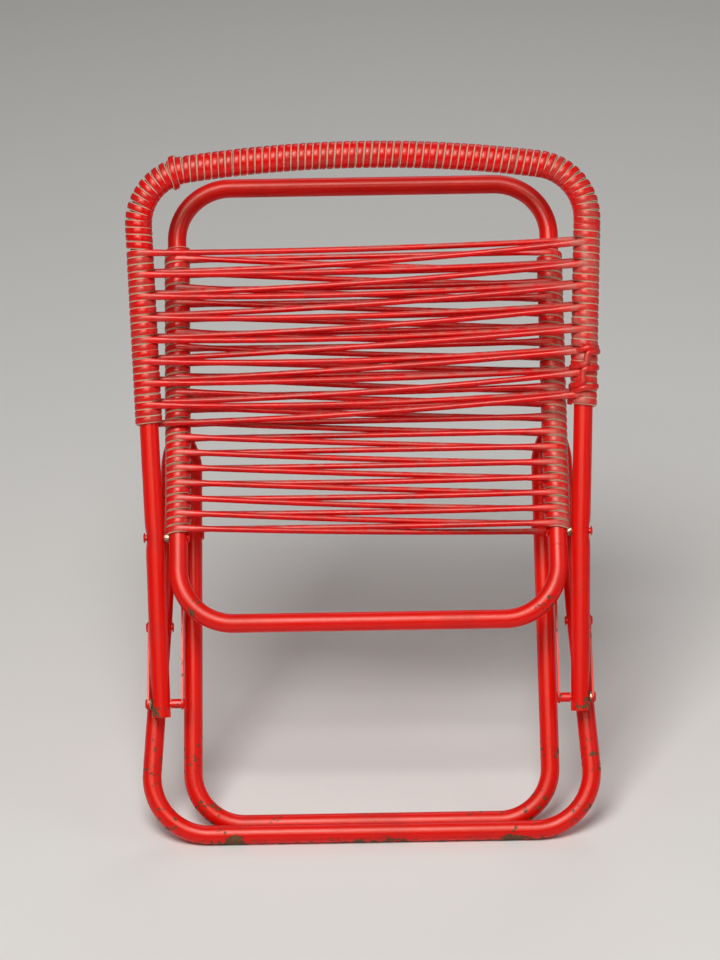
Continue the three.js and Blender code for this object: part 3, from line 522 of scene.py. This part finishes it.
# %% [markdown]
# ### Leg frames
# Two U frames that hang from one pivot under the seat's side tubes, the outer one wider at its
# foot bar. Their lengths could be typed in, but they follow from the pivot and the two foot bars.
# %% Where the legs hang
LEG_PIVOT_REACH = 156.0
LEG_PIVOT_DEPTH = 26.0
OUTER_LEG_FOOT_SETBACK = 8.5
CAD_TUBE_SIDES = 12
FLAT_OF_TUBE = TUBE_RADIUS * math.cos(math.pi / CAD_TUBE_SIDES)
OUTER_FOOT = (OUTER_LEG_FOOT_SETBACK, FLAT_OF_TUBE)
INNER_FOOT = (OUTER_FOOT[0] + FOOT_BAR_SPACING, OUTER_FOOT[1] + INNER_FOOT_RISE)
leg_pivot = (LEG_PIVOT_REACH * math.sin(SEAT_LEAN) + LEG_PIVOT_DEPTH * math.cos(SEAT_LEAN),
             BACK_PIVOT_HEIGHT + LEG_PIVOT_REACH * math.cos(SEAT_LEAN)
             - LEG_PIVOT_DEPTH * math.sin(SEAT_LEAN))
outer_length, inner_length = (math.dist(leg_pivot, foot) for foot in (OUTER_FOOT, INNER_FOOT))
print("leg lengths below the pivot:", round(outer_length), round(inner_length), "mm")

# %% [markdown]
# The upper ends are pressed flat and rounded about the pivot hole. They could be separate plates,
# but on the real chair it is all one tube, so the grid is squeezed as in a press: its thickness
# falls and its width grows along the last 60 mm.
# %% Squeeze a leg's ends
FLAT_THICKNESS = 4.0
FLAT_HALF_WIDTH = 11.0
FLATTENING_LENGTH = 60.0
FLAT_STRAIGHT = 16.0
LEG_KNEE_BEND_RADIUS = 260.0
TIP_RINGS = 8


def leg_grid(line, corner_radius, flat_centre):
    """A tube grid with squeezed ends: x towards the flat's middle, y widened, the tip rounded."""
    half = [(line[0][0], -FLAT_STRAIGHT)] + [(x, z, LEG_KNEE_BEND_RADIUS) for x, z in line[1:-1]]
    half.append((*line[-1], corner_radius))
    path = bent_path(half + [(-x, *rest) for x, *rest in half[::-1]])
    turn = np.linspace(math.pi / 2 - 0.12, 0, TIP_RINGS)
    tip = np.stack([np.full(TIP_RINGS, line[0][0]), FLAT_HALF_WIDTH * np.sin(turn)], axis=-1)
    ends = np.concatenate([tip, [(line[0][0], -FLAT_STRAIGHT / 2)]])
    mirrored = ends[::-1] * [-1, 1]
    centres, normal, _ = in_plane(np.concatenate([ends, path, mirrored]))
    grid = tube_grid(centres, normal)
    z = grid[..., 2]
    flat = smooth_share(z, -FLAT_STRAIGHT - FLATTENING_LENGTH, -FLAT_STRAIGHT)
    side = np.sign(centres[:, 0])[:, None]
    side_centre = np.interp(-z, -line[:, 1], line[:, 0])
    offset = side * grid[..., 0] - side_centre
    centre = side_centre + (flat_centre - side_centre) * flat
    grid[..., 0] = side * (centre + offset * (1 + (FLAT_THICKNESS / (2 * TUBE_RADIUS) - 1) * flat))
    rounded = np.sqrt(np.clip(1 - (np.clip(z, 0, None) / FLAT_HALF_WIDTH) ** 2, 0.01, 1))
    grid[..., 1] *= (1 + (FLAT_HALF_WIDTH / TUBE_RADIUS - 1) * flat) * rounded
    return grid


# %% [markdown]
# Each leg is given by how far it stands from the chair's middle at its flat end, its waist, its
# knee and its foot. The flat ends lie on either side of the bracket. The chair stands on these
# frames, so their paint is chipped most at the corners, along the underside and on the lower part
# of the legs.
# %% Leg tubes
BRACKET_THICKNESS = 2.5
OUTER_FLAT_CENTRE = SEAT_HALF_WIDTH + (BRACKET_THICKNESS + FLAT_THICKNESS) / 2 + FIT_GAP
INNER_FLAT_CENTRE = SEAT_HALF_WIDTH - (BRACKET_THICKNESS + FLAT_THICKNESS) / 2 - FIT_GAP
LEG_WAIST_DROP = 78.0
OUTER_LEG_KNEE_DROP = 228.0
OUTER_LEG_WAIST_HALF_WIDTH = SEAT_HALF_WIDTH + 9.5
OUTER_LEG_KNEE_HALF_WIDTH = SEAT_HALF_WIDTH + 18.5
OUTER_LEG_FOOT_HALF_WIDTH = SEAT_HALF_WIDTH + 36
INNER_LEG_WAIST_HALF_WIDTH = SEAT_HALF_WIDTH - 13
INNER_LEG_FOOT_HALF_WIDTH = SEAT_HALF_WIDTH - 9
OUTER_LEG_CORNER_RADIUS = 58.0
INNER_LEG_CORNER_RADIUS = 52.0
OUTER_LINE = np.array([(OUTER_LEG_WAIST_HALF_WIDTH, FLAT_HALF_WIDTH),
                       (OUTER_LEG_WAIST_HALF_WIDTH, -LEG_WAIST_DROP),
                       (OUTER_LEG_KNEE_HALF_WIDTH, -OUTER_LEG_KNEE_DROP),
                       (OUTER_LEG_FOOT_HALF_WIDTH, -outer_length)])
INNER_LINE = np.array([(INNER_LEG_WAIST_HALF_WIDTH, FLAT_HALF_WIDTH),
                       (INNER_LEG_WAIST_HALF_WIDTH, -LEG_WAIST_DROP),
                       (INNER_LEG_FOOT_HALF_WIDTH, -inner_length)])


def leg_wear(grid, foot_x, foot_z):
    """Near the corners, under the foot bar and at its middle, up the leg, and two lesser places."""
    return (0.72 * near(grid, foot_x - 12, 0, foot_z + 10, 26)
            + 0.5 * smooth_share(foot_z - grid[..., 2], 2, TUBE_RADIUS)
            + 0.3 * near(grid, 0, 0, foot_z, 60)
            + 0.62 * near(grid, foot_x, 0, foot_z + 72, 30)
            + 0.45 * near(grid, foot_x - 80, 0, foot_z + TUBE_RADIUS, 34)
            + 0.7 * near(grid, foot_x - 85, -4, foot_z - 8, 9))


for name, line, corner_radius, flat_centre, foot in (
        ("outer_leg", OUTER_LINE, OUTER_LEG_CORNER_RADIUS, OUTER_FLAT_CENTRE, OUTER_FOOT),
        ("inner_leg", INNER_LINE, INNER_LEG_CORNER_RADIUS, INNER_FLAT_CENTRE, INNER_FOOT)):
    grid = leg_grid(line, corner_radius, flat_centre)
    lean = math.atan2(leg_pivot[0] - foot[0], leg_pivot[1] - foot[1])
    placed = chair_place(lean_back(grid, lean, *leg_pivot))
    piece(name + "_bent_tube", placed, ENAMEL, name + "s", "red_enamel", [name + "_tube"],
          wear=leg_wear(grid, *line[-1]))

# %% [markdown]
# ## Wound cord
# The cord panels are the face of this chair. One cord is wound closely round a side tube, crosses
# from the front of that tube to the back of the other, is wound there, and crosses back in the
# same way, so that the strands make flat figures of eight. The close turns could be a sleeve with
# stripes, but real turns catch the light one by one, so each panel is one cord along one long
# path.
# %% Round a tube, and across to the other
TURN_STEPS = 18
SPAN_POINTS = 26
POST_LIFT = 4.3
POST_DROP = 3.7
POST_REACH = 18
PRESSED_WITHIN = 4
ROUND_BEYOND = 34


def wrap_rings(side, start, end, turns, half_width, radius, wobble, post):
    """Round a tube, from behind it to its front: x = side * (width + r cos a), y = r sin a, and the
    height grows with the angle. Behind the tube the turns move up or down where a bracket's post
    comes through. Gives the rings' centres, their facing directions and their pressing."""
    swing = np.linspace(0, 1, round(turns * TURN_STEPS) + 1)
    height = start + (end - start) * swing + wobble * np.sin(2 * np.pi * swing) * 0.5
    width = half_width(height)
    tip = np.arcsin(radius / width)
    angle = np.pi / 2 + tip - (2 * np.pi * turns + 2 * tip) * swing
    if post:
        aside = np.where(height > post, POST_LIFT, -POST_DROP)
        aside = aside * np.exp(-np.abs(height - post) / POST_REACH)
        height = height + aside * np.clip(np.sin(angle), 0, 1)
    outward = np.stack([side * np.cos(angle), np.sin(angle), np.zeros_like(angle)], axis=-1)
    middle = np.stack([side * width, np.zeros_like(angle), height], axis=-1)
    return middle + outward * radius, -side * outward, np.ones(len(angle))


def span_rings(start, end, sag):
    """A straight line from one tube to the other that sags by 4 * sag * t * (1 - t). The cord is
    pressed near each tube and round further out."""
    t = np.linspace(0, 1, SPAN_POINTS)[1:-1, None]
    line = start + (end - start) * t
    line[:, 2] -= (4 * sag * t * (1 - t))[:, 0]
    facing = np.broadcast_to([0.0, -np.sign(end[0] - start[0]), 0.0], line.shape)
    edge = np.minimum(t, 1 - t)[:, 0] * np.linalg.norm(end - start)
    return line, facing, 1 - smooth_share(edge, PRESSED_WITHIN, ROUND_BEYOND)


# %% [markdown]
# On the real chair the pattern repeats down the tube. Each figure of eight could be a piece of
# its own, but then its ends would show, so one list holds every wrap of a panel, and a span joins
# each two. Hand-wound cord is never quite even, so each wrap and each sag differs a little.
# %% The path of a cord between two side tubes
LEFT, RIGHT = -1, 1
rng = np.random.default_rng(11)


def figures_of_eight(count, first, pitch, turns, turn_height, right_rise):
    """Left and right wraps in turn as (side, height behind, height in front, turns). They are a
    pitch apart, and each goes down from its strand in front by its turns * a turn's height."""
    fall = turns * turn_height
    wraps = []
    for front in first + pitch * np.arange(count):
        wraps.append((LEFT, front - fall, front, turns))
        wraps.append((RIGHT, front + right_rise - fall, front + right_rise, turns))
    return wraps


def crossing_path(wraps, half_width, radius, sag, wobble, post=None):
    """The rings of all the wraps, and of a span between each two."""
    parts = []
    for side, start, end, turns in wraps:
        shift = rng.normal(0, wobble)
        wrapped = wrap_rings(side, start, end, turns, half_width, radius, shift, post)
        if parts:
            hang = sag + rng.normal(0, 2 * wobble)
            parts.append(span_rings(parts[-1][0][-1], wrapped[0][0], hang))
        parts.append(wrapped)
    return tuple(np.concatenate(column) for column in zip(*parts))


# %% [markdown]
# Under tension a hollow cord is pressed nearly flat on a tube, and it stays round where it spans.
# One outline for all of it would be simpler, but the change at each tube is easy to see, so the
# outline is blended along the path.
# %% The cord's outline
CORD_SIDES = 16
SPAN_RADIUS = 3.0
CORD_HALF_WIDE = 3.75
CORD_CLEARANCE = 0.2
FLATNESS = 0.7


def flattened_oval(half_thick, half_wide):
    """An ellipse with each of sine and cosine raised to 0.7, their signs kept, so that its long
    sides are nearly flat."""
    unit = oval(CORD_SIDES, 1, 1)
    return np.sign(unit) * np.abs(unit) ** FLATNESS * [half_thick, half_wide]


def cord_grid(centres, facing, pressed, half_thick, half_wide):
    """Flattened ovals square to the path, their short axis along `facing`, blended to circles on
    the spans: pressed * oval + (1 - pressed) * circle."""
    along = np.gradient(centres, axis=0)
    along /= np.linalg.norm(along, axis=1, keepdims=True)
    across = np.cross(along, facing)
    across /= np.linalg.norm(across, axis=1, keepdims=True)
    away = np.cross(across, along)
    share = pressed[:, None, None]
    outline = flattened_oval(half_thick, half_wide) * share
    outline = outline + oval(CORD_SIDES, SPAN_RADIUS, SPAN_RADIUS) * (1 - share)
    return carry(centres, away, across, outline)


# %% [markdown]
# Dust settles where the cord faces up and in the grooves at the oval's two narrow sides. A
# painted sheen goes with the dust on what faces up and on the fronts of the turns. It could be
# painted, but the shape already knows both places, so each point of the grid gets two values.
# %% Dust and painted sheen on a cord, and the finished cord
RIGHT_TUBE = (180, 200)


def cord_dust_and_sheen(grid, pressed, behind, dusty):
    """The pink film of dust and painted sheen = how far a point faces up on the spans, more behind
    the panel, or forwards on the turns, more on the right tube, times dusty. groove = how near it
    is to the oval's narrow sides, 1 at their edges."""
    middle = grid.mean(axis=1, keepdims=True)
    outward = grid - middle
    outward /= np.linalg.norm(outward, axis=2, keepdims=True)
    # Both the dust film and a painted sheen lie on what faces up on the spans and forwards on the
    # turns.
    upward = np.clip(outward[..., 2] * 1.3 - 0.3, 0, 1)
    forward = np.clip(0.3 - 0.3 * outward[..., 1], 0, 1)
    on_spans = upward * (0.15 + 0.85 * behind[:, None]) * (1 - pressed[:, None])
    on_turns = forward * (0.45 + 0.9 * smooth_share(grid[..., 0], *RIGHT_TUBE)) * pressed[:, None]
    groove = np.abs(flattened_oval(1, 1)[:, 1])[None, :] * pressed[:, None]
    return (on_spans + on_turns) * dusty, groove


def cord_piece(name, path, place, half_thick, half_wide, body, replaces, dusty=1.0):
    """The cord's surface with its dust and painted sheen, from rings of centres, facing directions
    and pressing.
    """
    centres, facing, pressed = path
    placed = place(cord_grid(centres, facing, pressed, half_thick, half_wide))
    behind = smooth_share(centres[:, 1], -8, 8)
    film, groove = cord_dust_and_sheen(placed, pressed, behind, dusty)
    length = np.linalg.norm(np.diff(centres, axis=0), axis=1).sum() / 1000
    print(f"{name}: one cord of {length:.1f} m")
    piece(name, placed, CORD, body, "red_cord", replaces, crease=180, film=film, groove=groove)


# %% [markdown]
# ### Seat panel
# Nineteen figures of eight, 15.65 mm apart, with one plain turn between strands on each side
# tube, so a turn is half a pitch high. The first two wraps are half turns, and a last turn on the
# left tube holds the cord's end. The turns part behind the tubes where the brackets' posts come
# through.
# %% Seat cord
SEAT_HALF_THICK = 1.75
SEAT_WOUND_RADIUS = TUBE_RADIUS + SEAT_HALF_THICK + CORD_CLEARANCE
SEAT_FIGURES = 19
SEAT_FIRST = 7.2
SEAT_PITCH = 15.65
SEAT_TURN_HEIGHT = SEAT_PITCH / 2
BRACKET_POST = 154.3


def seat_half_width(reach):
    """The seat's side tubes are parallel."""
    return np.full_like(reach, SEAT_HALF_WIDTH)


seat_wraps = figures_of_eight(SEAT_FIGURES, SEAT_FIRST, SEAT_PITCH, 1.5, SEAT_TURN_HEIGHT, -0.6)
seat_wraps[:2] = [(side, front - 0.5 * SEAT_TURN_HEIGHT, front, 0.5)
                  for side, _, front, _ in seat_wraps[:2]]
last_turn = SEAT_FIRST + SEAT_FIGURES * SEAT_PITCH - 1.5 * SEAT_TURN_HEIGHT
seat_wraps.append((LEFT, last_turn, last_turn + SEAT_TURN_HEIGHT, 1.0))
seat_path = crossing_path(seat_wraps, seat_half_width, SEAT_WOUND_RADIUS, sag=1.3, wobble=0.35,
                          post=BRACKET_POST)
cord_piece("seat_cord", seat_path, seat_place, SEAT_HALF_THICK, CORD_HALF_WIDE, "seat",
           ["seat_cord_strands"] + [f"seat_winding_{end}_{side}" for end in ("rear", "front")
                                    for side in ("left", "right")])

# %% [markdown]
# ### Back panel
# Eight wider figures of eight, 21.7 mm apart, with two plain turns between strands. The winding
# starts with a turn and a half on the right tube and one strand that crosses under all the
# others. Its last wrap stops behind the tube, where the hitched end goes on.
# %% Back cord
BACK_HALF_THICK = 2.0
BACK_FIGURES = 8
BACK_FIRST = 440.5
BACK_PITCH = 21.7
BACK_TURN_HEIGHT = BACK_PITCH / 3
BACK_RIGHT_RISE = 26.0
BACK_WOUND_RADIUS = TUBE_RADIUS + BACK_HALF_THICK + CORD_CLEARANCE
back_wraps = figures_of_eight(BACK_FIGURES, BACK_FIRST, BACK_PITCH, 2.5, BACK_TURN_HEIGHT,
                              BACK_RIGHT_RISE)
first_front = BACK_FIRST - BACK_PITCH + BACK_RIGHT_RISE
back_wraps.insert(0, (RIGHT, first_front - 1.5 * BACK_TURN_HEIGHT, first_front, 1.5))
side, start, end, turns = back_wraps[-1]
back_wraps[-1] = (side, start, end - 0.5 * BACK_TURN_HEIGHT, turns - 0.5)
back_path = crossing_path(back_wraps, back_half_width, BACK_WOUND_RADIUS, sag=4.3, wobble=0.5)
cord_piece("back_cord", back_path, chair_place, BACK_HALF_THICK, CORD_HALF_WIDE, "back",
           ["back_cord_strands", "back_winding_left", "back_winding_right"])

# %% [markdown]
# ### Close turns on the back frame
# The rest of the back frame's upper half is wound closely from one side, over the top bar, to the
# other. Rings side by side would look much the same, but the real winding slants a little, so it
# is a helix round the bent path: the place along the path grows steadily with the angle.
# %% Top winding
WINDING_PITCH = 7.23


def helix_on_tube(start, end, radius, pitch, wobble=0.0):
    """point = path(s) + r (cos a * normal + sin a * Y), with s growing by about one pitch a turn.
    It takes whole turns, so both of its ends lie behind the tube."""
    turns = round(abs(end - start) / pitch)
    angle = np.linspace(0, 2 * np.pi * turns, turns * TURN_STEPS)
    knots = turns + 2
    drift = np.interp(angle, np.linspace(0, angle[-1], knots), rng.normal(0, wobble, knots))
    s = np.linspace(start, end, len(angle)) + drift
    middle = np.stack([np.interp(s, back_length, back_centres[:, i]) for i in range(3)], axis=-1)
    normal = np.stack([np.interp(s, back_length, back_normal[:, i]) for i in range(3)], axis=-1)
    normal /= np.linalg.norm(normal, axis=1, keepdims=True)
    outward = normal * np.cos(angle + np.pi / 2)[:, None]
    outward[:, 1] += np.sin(angle + np.pi / 2)
    return middle + outward * radius, outward, np.ones(len(angle))


def left_length_at(height):
    """Where on the back path the left side tube passes a height."""
    on_side = (back_centres[:, 0] < 0) & (back_centres[:, 2] < BACK_CORNER_HEIGHT - 50)
    return np.interp(height, back_centres[on_side, 2], back_length[on_side])


last_left = BACK_FIRST + (BACK_FIGURES - 1) * BACK_PITCH
last_right = last_left + BACK_RIGHT_RISE
top_start = left_length_at(last_left + WINDING_PITCH / 2)
top_end = back_length[-1] - left_length_at(last_right - WINDING_PITCH / 2)
top_path = helix_on_tube(top_start, top_end, BACK_WOUND_RADIUS, WINDING_PITCH, 0.35)
cord_piece("top_winding", top_path, chair_place, BACK_HALF_THICK, CORD_HALF_WIDE, "back",
           ["back_winding_top"], 0.4)

# %% [markdown]
# At the left shoulder one turn rides over its neighbours, where the winding was pulled tight
# again. The long helix could swell there, but a short turn of its own, steeper and further out,
# is simpler.
# %% The crossing turn
SHOULDER = (-188.0, 671.0)
RIDGE_RADIUS = TUBE_RADIUS + 2.7 * BACK_HALF_THICK
RIDGE_PITCH = 11.0
from_shoulder = np.hypot(back_centres[:, 0] - SHOULDER[0], back_centres[:, 2] - SHOULDER[1])
shoulder = back_length[np.argmin(from_shoulder)]
ridge_path = helix_on_tube(shoulder - 7, shoulder + 6, RIDGE_RADIUS, RIDGE_PITCH)
cord_piece("crossing_turn", ridge_path, chair_place, BACK_HALF_THICK, 3.6, "back", [], 0.4)

# %% [markdown]
# ### Hitches on the right side
# The cord's last length comes down the front of the right tube. Three times it goes round the
# tube and over itself, which is a half hitch, and its end hangs beside the tube. A knot could be
# simulated, but one list of heights, angles and distances from the tube is enough for so short a
# length.
# %% Hitched end of the cord
HITCH_RADIUS = TUBE_RADIUS + BACK_HALF_THICK + 0.8
HITCH_LIFT = 3.6
MM_PER_DEGREE = 0.28
RUN_STOPS = ((491, 30, 0), (491, -10, 0), (490, -45, HITCH_LIFT / 2))
HITCHES = ((487.0, -70.0), (470.5, -86.0), (451.5, -96.0))
HALF_HITCH = ((4, 0, 1), (1.5, -45, 0.4), (1, -110, 0), (1, -250, 0), (0, -300, 0.3),
              (-0.5, -330, 0.9), (-1, -360, 1.1), (-2.5, -372, 1))
LOOSE_END = ((446, -40, 1.2), (440, -62, 1.5), (434, -70, 1.6))


def half_hitch(height, angle):
    """From the run's angle once round the tube, among the turns, and over the run's own front."""
    return [(height + up, angle + turned, HITCH_LIFT * lift) for up, turned, lift in HALF_HITCH]


def hitched_path(stops):
    """Smooth curve through (height, angle in degrees, standing off the tube) round the right tube,
    with a point for each millimetre and each of its values averaged over its neighbours."""
    stops = np.array(stops, dtype=float)
    strides = np.hypot(np.diff(stops[:, 1]) * MM_PER_DEGREE, np.diff(stops[:, 0]))
    steps = np.concatenate([[0], np.cumsum(strides)])
    fine = np.arange(0, steps[-1], 1.0)
    kernel = np.hanning(9)[1:-1] / np.hanning(9).sum()
    lines = [np.interp(fine, steps, stops[:, i]) for i in range(3)]
    height, angle, off = (np.convolve(np.pad(line, 3, "edge"), kernel, "valid") for line in lines)
    turned = np.radians(angle)
    outward = np.stack([np.cos(turned), np.sin(turned), np.zeros_like(turned)], axis=-1)
    middle = np.stack([back_half_width(height), np.zeros_like(turned), height], axis=-1)
    return middle + outward * (HITCH_RADIUS + off)[:, None], outward, np.full(len(turned), 0.55)


stops = list(RUN_STOPS)
for turn, (height, angle) in enumerate(HITCHES):
    stops += half_hitch(height, angle - 360 * turn)
last_angle = stops[-1][1]
stops += [(height, last_angle + turned, off) for height, turned, off in LOOSE_END]
cord_piece("hitched_cord_end", hitched_path(stops), chair_place, 2.2, 3.3, "back", [], 0.7)

# %% [markdown]
# ## Hardware
# Rivets, links, brackets, washers and sleeves could be made again, but they are right in shape as
# CAD solids, so they stay and get their finish: chipped enamel on what was painted with the
# chair, bare steel on what wasn't.
# %% Finish the CAD nodes
for name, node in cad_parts.items():
    if name in DRESSED_NODES:
        continue
    bare = any(word in name for word in ("plug", "spacer", "washer"))
    for material_slot in node.material_slots:
        material_slot.material = BARE_STEEL if bare else WORN_ENAMEL
print("nodes finished:", len(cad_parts) - len(DRESSED_NODES))

# %% [markdown]
# ## Floor, light and camera
# A plain pale floor takes the shadows. A pale world and three soft lights light the chair: the
# strongest from above in front, one from the right and one from behind. The strongest could be
# stronger still for the long highlights of an open sky, but that would bleach the red, so a
# fourth light, large and warm, shows in reflections only.
# %% Floor and lights
FLOOR = 9.0
CHAIR_MIDDLE = (0, 0, 0.35)


def soft_light(name, place, size, power, only_in_shine=False, target=CHAIR_MIDDLE):
    """A square area light whose -Z points from its place to the target."""
    light = bpy.data.lights.new(name, "AREA")
    light.shape = "SQUARE"
    light.size = size
    light.energy = power
    lamp = bpy.data.objects.new(name, light)
    lamp.visible_diffuse = not only_in_shine
    bpy.context.scene.collection.objects.link(lamp)
    lamp.location = place
    aim = np.array(target) - np.array(place)
    flat = math.hypot(aim[0], aim[1])
    lamp.rotation_euler = (math.atan2(flat, -aim[2]), 0, math.atan2(-aim[0], aim[1]))
    return light


floor_mesh = bpy.data.meshes.new("floor")
floor_corners = [(-FLOOR, -FLOOR, 0), (FLOOR, -FLOOR, 0), (FLOOR, FLOOR, 0), (-FLOOR, FLOOR, 0)]
floor_mesh.from_pydata(floor_corners, [], [(0, 1, 2, 3)])
floor = bpy.data.objects.new("floor", floor_mesh)
bpy.context.scene.collection.objects.link(floor)
floor_material, floor_tree = new_material("pale_matt_floor")
matt = add(floor_tree, "BsdfPrincipled", {"Base Color": "#eceae6", "Roughness": 0.85})
add(floor_tree, "OutputMaterial", {"Surface": matt})
floor_mesh.materials.append(floor_material)
soft_light("key_light", (-0.45, -1.8, 3.0), 1.5, 82)
soft_light("fill_light", (2.4, -1.0, 1.6), 1.6, 8)
soft_light("back_light", (0.4, 2.4, 2.4), 1.4, 10, target=(0, 0, 0.4))
sheen = soft_light("sky_sheen_light", (-0.6, -2.4, 3.7), 4.6, 310, only_in_shine=True)
sheen.color = linear("#ffe4bf")[:3]
world = bpy.data.worlds.new("pale_sky")
bpy.context.scene.world = world
world.use_nodes = True
world.node_tree.nodes["Background"].inputs["Color"].default_value = linear("#eef1f4")
world.node_tree.nodes["Background"].inputs["Strength"].default_value = 0.14
bpy.context.scene.view_settings.view_transform = "Standard"
print("floor and lights set:", [lamp.name for lamp in bpy.data.lights])

# %% [markdown]
# The camera stands 3.6 m away with a long lens, so the far tubes look hardly smaller than the
# near ones. It looks down as far as the chair leans back, so that it sees the chair square on,
# and it is rolled by one degree as the photograph is. Its place is measured in the upright chair,
# like all else.
# %% Camera
CAMERA_DISTANCE = 3600.0
CAMERA_ROLL = math.radians(0.95)
PICTURE_CENTRE = (-7.0, 362.5)
camera_data = bpy.data.cameras.new("camera")
camera_data.sensor_fit = "HORIZONTAL"
camera_data.sensor_width = 36.0
camera_data.lens = 180.0
camera = bpy.data.objects.new("camera", camera_data)
bpy.context.scene.collection.objects.link(camera)
upright_place = np.array([PICTURE_CENTRE[0], -CAMERA_DISTANCE, PICTURE_CENTRE[1]])
camera.location = chair_place(upright_place) * MM
camera.rotation_euler = (Matrix.Rotation(-LEAN_BACK, 3, "X") @ Matrix.Rotation(CAMERA_ROLL, 3, "Y")
                         @ Matrix.Rotation(math.pi / 2, 3, "X")).to_euler()
bpy.context.scene.camera = camera
print("camera at", tuple(round(value, 3) for value in camera.location))
